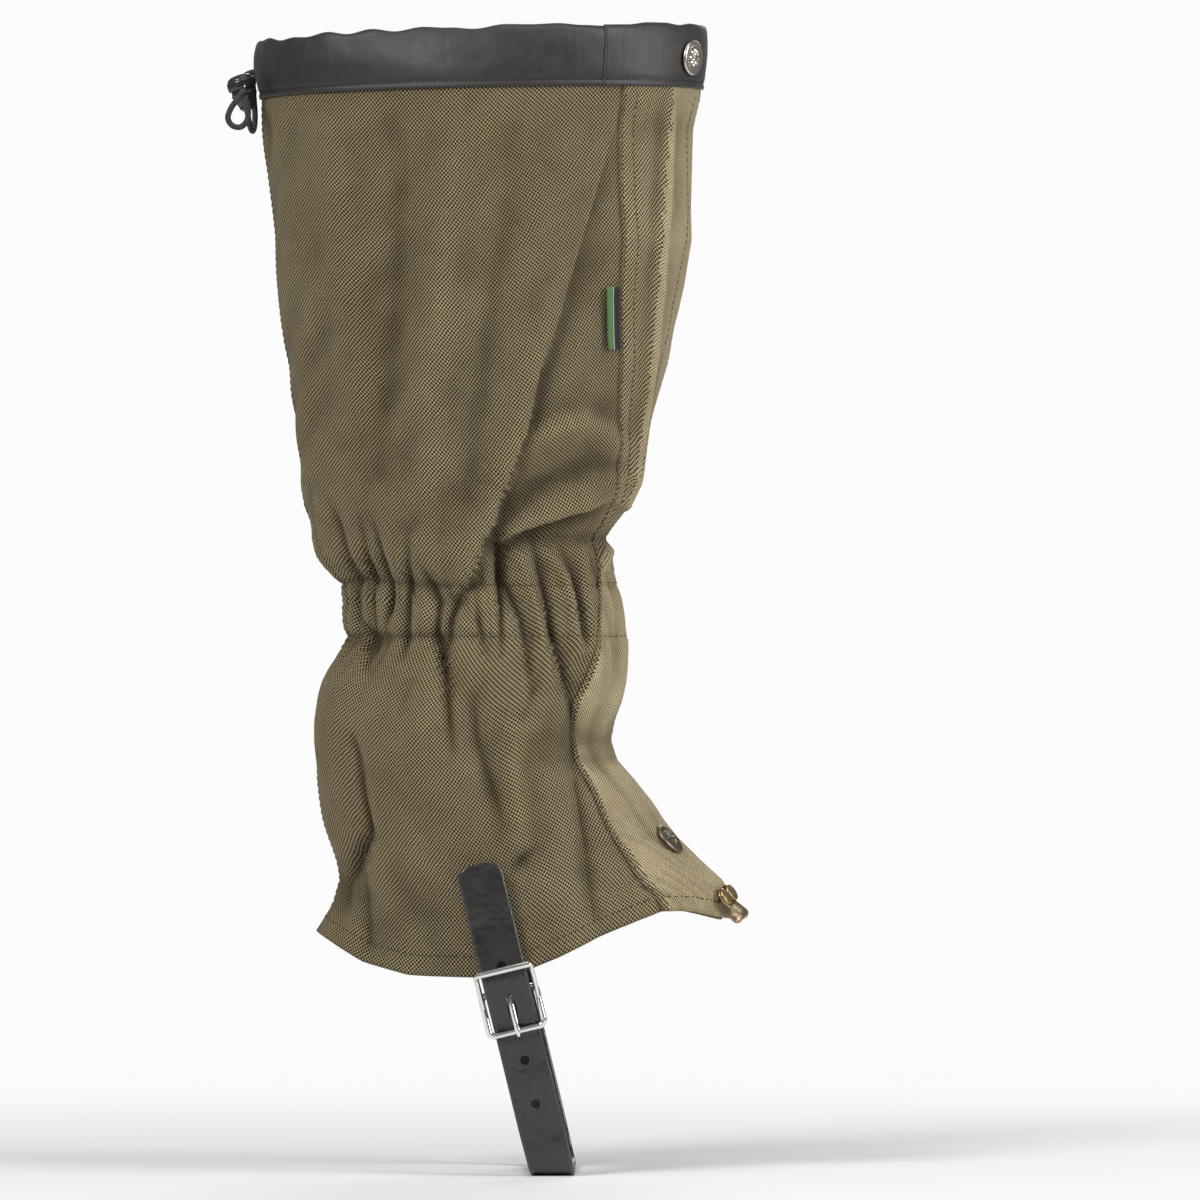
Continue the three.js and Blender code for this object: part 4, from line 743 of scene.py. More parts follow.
def settle(X, base, N, H, th):
    """Lets the sheet relax: it keeps its yarn lengths, bends stiffly, hangs from the band and rests on the leg inside."""
    NV, NU = X.shape[:2]
    r = np.random.default_rng(5)
    Lh = np.linalg.norm(X[:, 1:] - X[:, :-1], axis=2)
    Lv = np.linalg.norm(X[1:] - X[:-1], axis=2)
    # yarn lengths are even along a row, so uneven stretching in the first shape is spread out
    k = np.ones(9) / 9
    Lh = 0.75 * Lh + 0.25 * np.apply_along_axis(lambda v: np.convolve(np.pad(v, 4, "edge"), k, "valid"), 1, Lh)
    slack_h = 1.0 + 0.022 * np.exp(-((H[:, 1:] - 244) / 45) ** 2)
    slack_v = 1.0 + 0.020 * np.exp(-((0.5 * (H[1:] + H[:-1]) - 285) / 45) ** 2)
    Lh *= slack_h
    Lv *= slack_v
    Ld1 = np.sqrt(0.5 * (Lh[:-1] ** 2 + Lh[1:] ** 2) + 0.5 * (Lv[:, 1:] ** 2 + Lv[:, :-1] ** 2))
    B2h = np.linalg.norm(X[:, 2:] - X[:, :-2], axis=2)
    B2v = np.linalg.norm(X[2:] - X[:-2], axis=2)
    B2h = np.minimum(0.5 * B2h + 0.5 * (Lh[:, 1:] + Lh[:, :-1]), Lh[:, 1:] + Lh[:, :-1])
    anchor = X.copy()
    X = X + N * (0.25 * r.standard_normal(X.shape[:2]))[..., None]
    hold = np.full((NV, NU), 0.035)
    hold += 0.5 * np.exp(-(np.abs(H - GATHER_HI) / 1.5) ** 2) + 0.5 * np.exp(-(np.abs(H - GATHER_LO) / 1.5) ** 2)
    hold[H > 466] = 1.0
    hold[0, :] = 0.05
    hold[:, 0] = 0.10
    hold[:, -1] = 0.4
    hold = np.clip(hold, 0, 1)[..., None]
    lo, hi = -9.0, 8.0

    def fix(a, b, Lr, s):
        d = b - a
        l = np.linalg.norm(d, axis=-1)
        c = (s * 0.5 * (l - Lr) / np.maximum(l, 1e-9))[..., None] * d
        a += c
        b -= c

    vel = np.zeros_like(X)
    rounds = 110
    for it in range(rounds):
        old = X.copy()
        X = X + vel * 0.85
        X[..., 2] -= 0.004
        for p in (0, 1):
            fix(X[:, p:NU - 1:2], X[:, p + 1:NU:2], Lh[:, p::2], 0.9)
            fix(X[p:NV - 1:2], X[p + 1:NV:2], Lv[p::2], 0.9)
            a, b = X[:-1, p:NU - 1:2], X[1:, p + 1:NU:2]
            fix(a, b, Ld1[:, p::2], 0.12)
            a, b = X[1:, p:NU - 1:2], X[:-1, p + 1:NU:2]
            fix(a, b, Ld1[:, p::2], 0.12)
        for p in range(4):
            fix(X[:, p:NU - 2:4], X[:, p + 2:NU:4], B2h[:, p::4], 0.04)
            fix(X[p:NV - 2:4], X[p + 2:NV:4], B2v[p::4], 0.04)
        X = X + (anchor - X) * hold
        o = np.einsum("ijk,ijk->ij", X - base, N)
        X = X + N * (np.clip(o, lo, hi) - o)[..., None] * 0.8
        vel = X - old
        sp = np.linalg.norm(vel, axis=2, keepdims=True)
        vel *= np.minimum(1, 0.8 / np.maximum(sp, 1e-9))
    return X


shell = build_shell()
SX, STH, SH_, HS = shell["X"], shell["th"], shell["H"], shell["hs"]
SN = grid_normals(SX)
if np.einsum("ijk,ijk->ij", SN, shell["N"]).mean() < 0:
    SN = -SN
NF, NO, NI = shell["NF"], shell["NO"], shell["NI"]


def on_sheet(theta, h, off=0.0, want_normal=False):
    """A point of the settled sheet at an angle (in -3 .. 360 + underlap) and height number, lifted by off."""
    theta, h = np.broadcast_arrays(np.atleast_1d(np.asarray(theta, float)), np.atleast_1d(np.asarray(h, float)))
    P = np.zeros(theta.shape + (3,)); Q = np.zeros(theta.shape + (3,))
    for k in np.ndindex(theta.shape):
        t, y = theta[k], h[k]
        j = int(np.clip(np.searchsorted(HS, y) - 1, 0, len(HS) - 2))
        f = min(1, max(0, (y - HS[j]) / (HS[j + 1] - HS[j])))
        acc, nac = np.zeros(3), np.zeros(3)
        for jj, w in ((j, 1 - f), (j + 1, f)):
            i = int(np.clip(np.searchsorted(STH[jj], t) - 1, 0, STH.shape[1] - 2))
            g = min(1, max(0, (t - STH[jj, i]) / (STH[jj, i + 1] - STH[jj, i])))
            acc += w * ((1 - g) * SX[jj, i] + g * SX[jj, i + 1])
            nac += w * ((1 - g) * SN[jj, i] + g * SN[jj, i + 1])
        P[k], Q[k] = acc, unit(nac)
    P = P + Q * np.asarray(off)[..., None] if np.ndim(off) else P + Q * off
    return (P, Q) if want_normal else P


def sheet_uv(X, ref=0):
    """Cut-pattern coordinates in metres: yarns stay evenly spaced on the cloth."""
    u = np.concatenate([np.zeros((X.shape[0], 1)), np.cumsum(np.linalg.norm(np.diff(X, axis=1), axis=2), 1)], 1)
    k = np.ones(11) / 11
    u = np.apply_along_axis(lambda v: np.convolve(np.pad(v, 5, "edge"), k, "valid"), 0, u - u[:, ref:ref + 1])
    v = np.concatenate([np.zeros((1, X.shape[1])), np.cumsum(np.linalg.norm(np.diff(X, axis=0), axis=2), 0)], 0)
    kv = np.ones(21) / 21
    v = np.apply_along_axis(lambda w: np.convolve(np.pad(w, 10, "edge"), kv, "valid"), 1, v)
    return np.stack([u, v], -1) * MM


def grid_area(X):
    a, b, c, d = X[:-1, :-1], X[:-1, 1:], X[1:, 1:], X[1:, :-1]
    return float((np.linalg.norm(np.cross(b - a, c - a), axis=2) / 2 + np.linalg.norm(np.cross(c - a, d - a), axis=2) / 2).sum())


def blur(A, n, axis):
    k = np.hanning(2 * n + 3)[1:-1]
    k /= k.sum()
    return np.apply_along_axis(lambda v: np.convolve(np.pad(v, n, "edge"), k, "valid"), axis, A)


def relief():
    """How far each spot of the sheet stands above (+) or below (-) its surroundings, in mm."""
    P = SX
    B9 = blur(blur(P, 5, 0), 5, 1)
    B3 = blur(blur(P, 2, 0), 2, 1)
    wide = np.einsum("ijk,ijk->ij", P - blur(blur(P, 11, 0), 9, 1), SN)
    near = np.einsum("ijk,ijk->ij", B3 - B9, SN)
    curve = wide + 1.6 * near
    return curve - np.median(curve)


# RELIEF drives painted shade in the shell's creases and painted highlight on its ridges
RELIEF = relief()


def crisp_lines():
    """Signed distances (mm) to the nearest fold edge and to the nearest pressed crease, each with its strength."""
    S, th, H = shell["S"], shell["th"], shell["H"]
    lateral = S[..., 1] < 0
    xm = S[..., 0] * 0.96 + 9 * value_noise(S[..., 0], S[..., 2], 3, 60) - 5
    zm = S[..., 2] + 7 * value_noise(S[..., 0], S[..., 2], 5, 55) + 3
    x, z = np.where(lateral, S[..., 0], xm), np.where(lateral, S[..., 2], zm)
    side = smooth((np.abs(S[..., 1]) - 3) / 14)

    def nearest(items):
        best, dist, amp = np.full(x.shape, 1e9), np.full(x.shape, 20.0), np.zeros(x.shape)
        for d, a in items:
            key = np.abs(d) + 30 * (a < 0.02)
            pick = key < best
            best = np.where(pick, key, best)
            dist = np.where(pick, d, dist)
            amp = np.where(pick, a, amp)
        return np.clip(dist, -20, 20), amp

    def drawn(name, amps):
        d, t = line_distance(x, z, FOLD_LINES[name])
        return d, np.interp(t, np.linspace(0, 1, len(amps)), amps) * np.exp(-(line_distance.over / 3.0) ** 2) * side

    lip_z = np.interp(S[..., 0], [-23, -10, 8, 15, 25, 40], [273, 279, 286, 288, 293, 284])
    lip = smooth((S[..., 0] + 27) / 8) * np.where(th < 120, 1, 0) * (1 - smooth((S[..., 0] - 22) / 8)) * side
    edges = [drawn("drape_main", [0.7, 0.9, 1.0, 1.0, 1.0, 1.0, 1.0, 0.9]), drawn("soft_low2", [0.3, 0.9, 1.0, 0.9, 0.6]), (lip_z - S[..., 2], 0.85 * lip),
             drawn("ridge_a", [0.3, 0.6, 0.3])]
    ridge_x = np.interp(H, [231, 262, 300, 340, 385, 430, 455, 472], [26, 22, 36, 42, 47, 50.5, 52.2, 53])
    on_flap = (th < seam_at(HS)[:, None]) & (th < 90) & (H > 262)
    edges.append((S[..., 0] - ridge_x - 0.8, 0.6 * on_flap * smooth((H - 262) / 30) * smooth((474 - H) / 10) * side))
    presses = [drawn(n, a) for n, a in (
        ("left_pleat", [0.1, 0.6, 0.9, 0.9, 0.2]), ("pleat_b", [0.1, 0.6, 0.9, 0.9, 0.2]), ("pleat_c", [0.1, 0.7, 0.9, 0.8, 0.2]), ("pleat_d", [0.1, 0.8, 0.9, 0.2]),
        ("long_crease", [0.2, 0.9, 1.0, 0.9, 0.8, 0.5, 0.1]), ("pleat_e", [0.4, 0.9, 0.8, 0.2]), ("pleat_h", [0.2, 0.8, 0.2]), ("pleat_f", [0.5, 1.0, 0.9, 0.2]),
        ("pleat_g", [0.2, 0.8, 0.8, 0.5, 0.1]), ("crease_j", [0.2, 0.7, 0.9, 0.8, 0.2]), ("crease_k", [0.1, 0.6, 0.6, 0.1]), ("pinch", [0.1, 0.8, 0.1]),
        ("soft_low1", [0.2, 0.5, 0.4, 0.1]), ("left_low", [0.2, 0.7, 0.9, 1.0, 0.9, 0.5]), ("left_low2", [0.2, 0.6, 0.4]))]
    # the lateral seam counts as a pressed crease, so painted shade runs along it
    seam = shell["arc"] - shell["arc"][:, NF:NF + 1]
    presses.append((seam, 0.65 * np.ones(x.shape)))
    return nearest(edges) + nearest(presses)


# these fold-edge and crease distances drive painted shade and painted highlight in the shell's colour, and its bump
EDGE_D, EDGE_A, PRESS_D, PRESS_A = crisp_lines()


# ------------------------------------------------------------------ node materials
class Nodes:
    def __init__(self, name):
        self.mat = bpy.data.materials.new(name)
        self.mat.use_nodes = True
        self.nt = self.mat.node_tree
        self.b = self.nt.nodes["Principled BSDF"]

    def new(self, kind, **kw):
        n = self.nt.nodes.new(kind)
        for k, v in kw.items():
            setattr(n, k, v)
        return n

    def link(self, a, b):
        self.nt.links.new(a, b)

    def set(self, **kw):
        for k, v in kw.items():
            self.b.inputs[k.replace("_", " ")].default_value = v

    def math(self, op, a, b=None, c=None, clamp=False):
        n = self.new("ShaderNodeMath", operation=op)
        n.use_clamp = clamp
        for i, v in enumerate((a, b, c)):
            if v is None:
                continue
            if isinstance(v, (int, float)):
                n.inputs[i].default_value = v
            else:
                self.link(v, n.inputs[i])
        return n.outputs[0]

    def ramp(self, fac, stops, interp="LINEAR"):
        n = self.new("ShaderNodeValToRGB")
        n.color_ramp.interpolation = interp
        while len(n.color_ramp.elements) < len(stops):
            n.color_ramp.elements.new(0.5)
        for e, (p, c) in zip(n.color_ramp.elements, stops):
            e.position = p
            e.color = tuple(c) + (1,) if len(c) == 3 else c
        self.link(fac, n.inputs[0])
        return n.outputs[0]

    def noise(self, vec, scale, detail=3, rough=0.5, distortion=0.0):
        n = self.new("ShaderNodeTexNoise")
        n.inputs["Scale"].default_value = scale
        n.inputs["Detail"].default_value = detail
        n.inputs["Roughness"].default_value = rough
        n.inputs["Distortion"].default_value = distortion
        self.link(vec, n.inputs["Vector"])
        return n.outputs["Fac"]

    def mix(self, fac, a, b, blend="MIX"):
        n = self.new("ShaderNodeMix", data_type="RGBA", blend_type=blend)
        for s, v in ((0, fac), (6, a), (7, b)):
            if isinstance(v, (int, float)):
                n.inputs[s].default_value = v
            elif isinstance(v, (tuple, list)):
                n.inputs[s].default_value = tuple(v) + (1,) if len(v) == 3 else v
            else:
                self.link(v, n.inputs[s])
        return n.outputs[2]

    def bump(self, height, strength, distance, into=None):
        n = self.new("ShaderNodeBump")
        n.inputs["Strength"].default_value = strength
        n.inputs["Distance"].default_value = distance
        self.link(height, n.inputs["Height"])
        if into is not None:
            self.link(into, n.inputs["Normal"])
        self.link(n.outputs[0], self.b.inputs["Normal"])
        return n.outputs[0]

    def coord(self, what="Object"):
        return self.new("ShaderNodeTexCoord").outputs[what]

    def uv(self):
        n = self.new("ShaderNodeUVMap")
        n.uv_map = "UVMap"
        return n.outputs[0]

    def scaled(self, vec, s):
        n = self.new("ShaderNodeMapping")
        n.inputs["Scale"].default_value = s
        self.link(vec, n.inputs["Vector"])
        return n.outputs[0]

    def xyz(self, vec):
        n = self.new("ShaderNodeSeparateXYZ")
        self.link(vec, n.inputs[0])
        return n.outputs


def shell_material(name, light, dark, pitch=0.0017, contrast=1.0, worn=0.0):
    """Two-tone birdseye weave: staggered dark dots between lighter diagonal yarns."""
    m = Nodes(name)
    uv, obj = m.uv(), m.coord()
    # slight wander of the yarns
    wob = m.noise(m.scaled(uv, (160, 160, 1)), 1.0, 2)
    sep = m.xyz(uv)
    w = m.math("MULTIPLY", m.math("SUBTRACT", wob, 0.5), pitch * 0.55)
    u = m.math("ADD", sep[0], w)
    v = m.math("MULTIPLY", m.math("ADD", sep[1], w), 0.90)
    k = 2 * math.pi / pitch
    d1 = m.math("COSINE", m.math("MULTIPLY", m.math("ADD", u, v), k))
    d2 = m.math("COSINE", m.math("MULTIPLY", m.math("SUBTRACT", u, v), k))
    dot = m.math("MULTIPLY_ADD", d1, 0.51, m.math("MULTIPLY", d2, 0.49))      # -1..1, dots on the crossings
    spot = m.new("ShaderNodeMapRange", interpolation_type="SMOOTHSTEP")
    m.link(dot, spot.inputs["Value"])
    spot.inputs["From Min"].default_value = -0.20
    spot.inputs["From Max"].default_value = 0.26
    # individual yarn tone
    slub = m.noise(m.scaled(uv, (1700, 90, 1)), 1.0, 1)
    slub2 = m.noise(m.scaled(uv, (90, 1700, 1)), 1.0, 1)
    big = m.noise(obj, 28, 4, 0.6)
    mid = m.noise(obj, 140, 3, 0.55)
    tone = m.math("ADD", m.math("MULTIPLY", m.math("SUBTRACT", slub, 0.5), 0.30), m.math("MULTIPLY", m.math("SUBTRACT", slub2, 0.5), 0.30))
    tone = m.math("ADD", tone, m.math("MULTIPLY", m.math("SUBTRACT", big, 0.5), 0.55))
    tone = m.math("ADD", tone, m.math("MULTIPLY", m.math("SUBTRACT", mid, 0.5), 0.22))
    value = m.math("ADD", 1.0, tone)
    keep = m.math("MULTIPLY", spot.outputs[0], contrast)
    col = m.mix(keep, light, dark)
    hue = m.ramp(big, [(0.30, (1.05, 0.985, 0.93)), (0.55, (1.0, 1.0, 1.0)), (0.75, (0.975, 1.01, 1.0))])
    col = m.mix(1.0, col, hue, "MULTIPLY")
    sc = m.new("ShaderNodeVectorMath", operation="SCALE")
    at_ = m.new("ShaderNodeAttribute", attribute_type="GEOMETRY", attribute_name="relief")
    relief_span = m.new("ShaderNodeMapRange")
    m.link(at_.outputs["Fac"], relief_span.inputs["Value"])
    relief_span.inputs["From Min"].default_value, relief_span.inputs["From Max"].default_value = -4.0, 4.0
    # painted shade in the creases and painted highlight on the ridges, set by the relief
    relief_shade_and_highlight = m.ramp(relief_span.outputs[0], [(0.0, (0.36, 0.35, 0.33)), (0.30, (0.66, 0.655, 0.64)), (0.5, (1.0, 1.0, 1.0)), (0.72, (1.14, 1.14, 1.13)), (1.0, (1.22, 1.22, 1.20))])
    col = m.mix(1.0, col, relief_shade_and_highlight, "MULTIPLY")
    # crisp fold edges and pressed creases: painted highlight on the rim of a fold, painted shade on the cloth tucked
    # beside it and down each pressed crease
    read = lambda key: m.new("ShaderNodeAttribute", attribute_type="GEOMETRY", attribute_name=key).outputs["Fac"]
    jit = m.math("MULTIPLY", m.math("SUBTRACT", m.noise(m.scaled(uv, (330, 330, 1)), 1.0, 2), 0.5), 2.2)
    e_d, p_d = m.math("ADD", read("edge_line"), jit), m.math("ABSOLUTE", m.math("ADD", read("press_line"), m.math("MULTIPLY", jit, 0.7)))
    patchy = m.ramp(m.noise(m.scaled(uv, (34, 34, 1)), 1.0, 2), [(0.30, (0.35, 0.35, 0.35)), (0.60, (1, 1, 1))])
    e_a = m.math("MULTIPLY", read("edge_power"), patchy)
    p_a = m.math("MULTIPLY", read("press_power"), patchy)
    e_x = m.math("MULTIPLY_ADD", e_d, 1 / 16.0, 0.5)
    fold_edge_shade_and_highlight = m.ramp(e_x, [(0.10, (1, 1, 1)), (0.36, (1.03, 1.03, 1.03)), (0.455, (1.20, 1.20, 1.18)), (0.485, (1.16, 1.16, 1.14)), (0.515, (0.52, 0.51, 0.49)), (0.56, (0.64, 0.63, 0.61)), (0.68, (0.86, 0.855, 0.85)), (0.92, (1, 1, 1))])
    p_x = m.math("MULTIPLY", p_d, 1 / 6.0)
    crease_shade_and_highlight = m.ramp(p_x, [(0.0, (0.50, 0.49, 0.47)), (0.09, (0.62, 0.61, 0.59)), (0.22, (0.90, 0.895, 0.89)), (0.36, (1.09, 1.09, 1.08)), (0.60, (1.05, 1.05, 1.04)), (1.0, (1, 1, 1))])
    col = m.mix(1.0, col, m.mix(e_a, (1, 1, 1), fold_edge_shade_and_highlight), "MULTIPLY")
    col = m.mix(1.0, col, m.mix(p_a, (1, 1, 1), crease_shade_and_highlight), "MULTIPLY")
    m.link(col, sc.inputs[0]); m.link(value, sc.inputs["Scale"])
    m.link(sc.outputs[0], m.b.inputs["Base Color"])
    # yarn relief: diagonal yarns stand up round the sunken dots
    fine = m.math("MULTIPLY", m.math("SINE", m.math("MULTIPLY", u, k * 4)), m.math("SINE", m.math("MULTIPLY", v, k * 4)))
    h = m.math("SUBTRACT", m.math("MULTIPLY", fine, 0.12), spot.outputs[0])
    h = m.math("ADD", h, m.math("MULTIPLY", slub, 0.3))
    e_h = m.ramp(e_x, [(0.40, (1, 1, 1)), (0.48, (0.9, 0.9, 0.9)), (0.52, (0.1, 0.1, 0.1)), (0.60, (0, 0, 0))])
    p_h = m.ramp(p_x, [(0.0, (0, 0, 0)), (0.10, (0.35, 0.35, 0.35)), (0.30, (1, 1, 1))])
    h = m.math("ADD", h, m.math("MULTIPLY", m.math("MULTIPLY", e_h, e_a), 3.2))
    h = m.math("ADD", h, m.math("MULTIPLY", m.math("MULTIPLY", p_h, p_a), 2.6))
    m.bump(h, 0.55, 0.00022)
    rough = m.new("ShaderNodeMapRange")
    m.link(dot, rough.inputs["Value"])
    rough.inputs["From Min"].default_value, rough.inputs["From Max"].default_value = -1, 1
    rough.inputs["To Min"].default_value, rough.inputs["To Max"].default_value = 0.82, 0.97
    m.link(rough.outputs[0], m.b.inputs["Roughness"])
    m.set(Sheen_Weight=0.08, Sheen_Roughness=0.5, Specular_IOR_Level=0.15)
    m.b.inputs["Sheen Tint"].default_value = (0.85, 0.78, 0.62, 1)
    return m.mat


def band_material():
    m = Nodes("band_satin")
    uv, obj = m.uv(), m.coord()
    s = m.xyz(uv)
    k = 2 * math.pi / 0.00042
    tw = m.math("SINE", m.math("MULTIPLY", m.math("ADD", s[0], m.math("MULTIPLY", s[1], 1.6)), k))
    big = m.noise(obj, 45, 4, 0.55)
    crum = m.noise(m.scaled(uv, (260, 110, 1)), 1.0, 4, 0.6, 0.6)
    col = m.ramp(m.math("ADD", m.math("MULTIPLY", big, 0.6), m.math("MULTIPLY", crum, 0.4)), [(0.3, (0.0185, 0.0165, 0.0160)), (0.7, (0.0345, 0.0310, 0.0300))])
    m.link(col, m.b.inputs["Base Color"])
    r = m.ramp(crum, [(0.2, (0.36, 0.36, 0.36)), (0.8, (0.52, 0.52, 0.52))])
    m.link(r, m.b.inputs["Roughness"])
    h = m.math("ADD", m.math("MULTIPLY", tw, 0.05), m.math("MULTIPLY", crum, 1.0))
    m.bump(h, 0.35, 0.0007)
    m.set(Sheen_Weight=0.12, Sheen_Roughness=0.35, Specular_IOR_Level=0.55)
    return m.mat


def thread_material(name, col):
    m = Nodes(name)
    obj = m.coord()
    n = m.noise(obj, 900, 2)
    c = m.ramp(n, [(0.3, tuple(x * 0.72 for x in col)), (0.7, tuple(min(1, x * 1.2) for x in col))])
    m.link(c, m.b.inputs["Base Color"])
    w = m.new("ShaderNodeTexWave", wave_type="BANDS", bands_direction="DIAGONAL")
    w.inputs["Scale"].default_value = 900
    m.link(obj, w.inputs["Vector"])
    m.bump(w.outputs["Fac"], 0.4, 0.0001)
    m.set(Roughness=0.7, Specular_IOR_Level=0.3)
    return m.mat


def leather_material(name, base=(0.0150, 0.0138, 0.0130)):
    """Finished leather: closed glossy face, shallow grain, slow waves that break up the reflections, paler rubbed edges."""
    m = Nodes(name)
    obj = m.coord()
    vor = m.new("ShaderNodeTexVoronoi", feature="DISTANCE_TO_EDGE")
    vor.inputs["Scale"].default_value = 1500
    m.link(obj, vor.inputs["Vector"])
    cell = m.ramp(vor.outputs["Distance"], [(0.0, (0, 0, 0)), (0.16, (1, 1, 1))])
    big, mid = m.noise(obj, 46, 3, 0.55), m.noise(obj, 420, 3, 0.6)
    scuff = m.noise(m.scaled(obj, (60, 60, 420)), 1.0, 4, 0.7)
    geo = m.new("ShaderNodeNewGeometry")
    edge = m.ramp(geo.outputs["Pointiness"], [(0.51, (0, 0, 0)), (0.58, (1, 1, 1))])
    col = m.ramp(m.math("ADD", m.math("MULTIPLY", big, 0.7), m.math("MULTIPLY", mid, 0.3)), [(0.3, tuple(x * 0.7 for x in base)), (0.7, tuple(x * 1.5 for x in base))])
    col = m.mix(m.math("MULTIPLY", edge, 0.45), col, (0.085, 0.078, 0.072))
    m.link(col, m.b.inputs["Base Color"])
    r = m.ramp(m.math("ADD", m.math("MULTIPLY", big, 0.5), m.math("MULTIPLY", scuff, 0.5)), [(0.35, (0.16, 0.16, 0.16)), (0.66, (0.46, 0.46, 0.46))])
    m.link(r, m.b.inputs["Roughness"])
    wave = m.bump(big, 1.0, 0.0030)
    h = m.math("ADD", m.math("MULTIPLY", cell, 0.4), m.math("MULTIPLY", mid, 0.8))
    m.bump(h, 0.20, 0.00025, wave)
    m.set(Specular_IOR_Level=0.55, Coat_Weight=0.35, Coat_Roughness=0.14)
    return m.mat


def metal_material(name, col, rough, scratch=0.06, dark=None):
    m = Nodes(name)
    obj = m.coord()
    big, fine = m.noise(obj, 120, 4, 0.6), m.noise(m.scaled(obj, (2600, 700, 2600)), 1.0, 3, 0.6)
    geo = m.new("ShaderNodeNewGeometry")
    low = dark if dark else tuple(x * 0.6 for x in col)
    cav = m.ramp(geo.outputs["Pointiness"], [(0.40, low), (0.50, col)])
    c = m.mix(m.math("MULTIPLY", big, 0.35), cav, tuple(x * 0.82 for x in col))
    m.link(c, m.b.inputs["Base Color"])
    r = m.math("ADD", m.math("MULTIPLY", fine, scratch * 2), m.math("ADD", m.math("MULTIPLY", big, scratch), rough - scratch))
    m.link(r, m.b.inputs["Roughness"])
    m.set(Metallic=1.0)
    m.bump(fine, 0.06, 0.00008)
    return m.mat


def plastic_material(name, col=(0.022, 0.020, 0.019), rough=0.28):
    m = Nodes(name)
    obj = m.coord()
    big, fine = m.noise(obj, 240, 4, 0.6), m.noise(obj, 3200, 2, 0.5)
    c = m.ramp(big, [(0.3, tuple(x * 0.8 for x in col)), (0.7, tuple(x * 1.5 for x in col))])
    m.link(c, m.b.inputs["Base Color"])
    r = m.math("ADD", m.math("MULTIPLY", big, 0.14), rough - 0.06)
    m.link(r, m.b.inputs["Roughness"])
    m.bump(fine, 0.10, 0.0001)
    m.set(Specular_IOR_Level=0.6, Coat_Weight=0.25, Coat_Roughness=0.12)
    return m.mat


def cord_material():
    m = Nodes("cord_braid")
    uv = m.uv()
    s = m.xyz(uv)
    k = 2 * math.pi / 0.00036
    a = m.math("SINE", m.math("MULTIPLY", m.math("ADD", s[0], s[1]), k))
    n = m.noise(m.coord(), 700, 3)
    c = m.ramp(n, [(0.3, (0.020, 0.019, 0.018)), (0.7, (0.045, 0.042, 0.040))])
    m.link(c, m.b.inputs["Base Color"])
    m.bump(a, 0.3, 0.0001)
    m.set(Roughness=0.72, Sheen_Weight=0.3, Sheen_Roughness=0.4)
    return m.mat


def tape_material(name, col, hooks=True):
    m = Nodes(name)
    obj = m.coord()
    vor = m.new("ShaderNodeTexVoronoi")
    vor.inputs["Scale"].default_value = 900 if hooks else 600
    m.link(obj, vor.inputs["Vector"])
    n = m.noise(obj, 350, 4, 0.7)
    c = m.ramp(vor.outputs["Distance"], [(0.1, tuple(x * 1.5 for x in col)), (0.6, tuple(x * 0.6 for x in col))])
    c = m.mix(m.math("MULTIPLY", n, 0.4), c, tuple(x * 0.8 for x in col))
    m.link(c, m.b.inputs["Base Color"])
    m.bump(vor.outputs["Distance"], 0.8, 0.0006)
    m.set(Roughness=0.9, Sheen_Weight=0.3)
    return m.mat


def elastic_material():
    m = Nodes("elastic_rib")
    obj = m.coord()
    w = m.new("ShaderNodeTexWave", wave_type="BANDS", bands_direction="Z")
    w.inputs["Scale"].default_value = 260
    w.inputs["Distortion"].default_value = 0.6
    m.link(obj, w.inputs["Vector"])
    n = m.noise(obj, 800, 2)
    c = m.ramp(w.outputs["Fac"], [(0.2, (0.016, 0.015, 0.014)), (0.8, (0.050, 0.047, 0.044))])
    m.link(c, m.b.inputs["Base Color"])
    m.bump(m.math("ADD", w.outputs["Fac"], m.math("MULTIPLY", n, 0.3)), 0.6, 0.0005)
    m.set(Roughness=0.85, Sheen_Weight=0.2)
    return m.mat


def label_material():
    """Woven label: green strip, thin pale line, black strip; fine ribs, no lettering."""
    m = Nodes("label_weave")
    uv = m.uv()
    s = m.xyz(uv)
    stripe = m.ramp(m.math("MULTIPLY", s[0], 1.0), [(0.0, (0.004, 0.004, 0.004)), (0.52, (0.60, 0.58, 0.52)), (0.575, (0.085, 0.20, 0.060))], "CONSTANT")
    rib = m.math("SINE", m.math("MULTIPLY", s[1], 2 * math.pi * 62))
    rib2 = m.math("SINE", m.math("MULTIPLY", s[0], 2 * math.pi * 24))
    n = m.noise(m.coord(), 900, 3)
    t = m.math("ADD", 0.82, m.math("ADD", m.math("MULTIPLY", rib, 0.08), m.math("MULTIPLY", n, 0.3)))
    sc = m.new("ShaderNodeVectorMath", operation="SCALE")
    m.link(stripe, sc.inputs[0]); m.link(t, sc.inputs["Scale"])
    m.link(sc.outputs[0], m.b.inputs["Base Color"])
    m.bump(m.math("ADD", rib, m.math("MULTIPLY", rib2, 0.6)), 0.35, 0.00012)
    m.set(Roughness=0.62, Sheen_Weight=0.15, Specular_IOR_Level=0.35)
    return m.mat


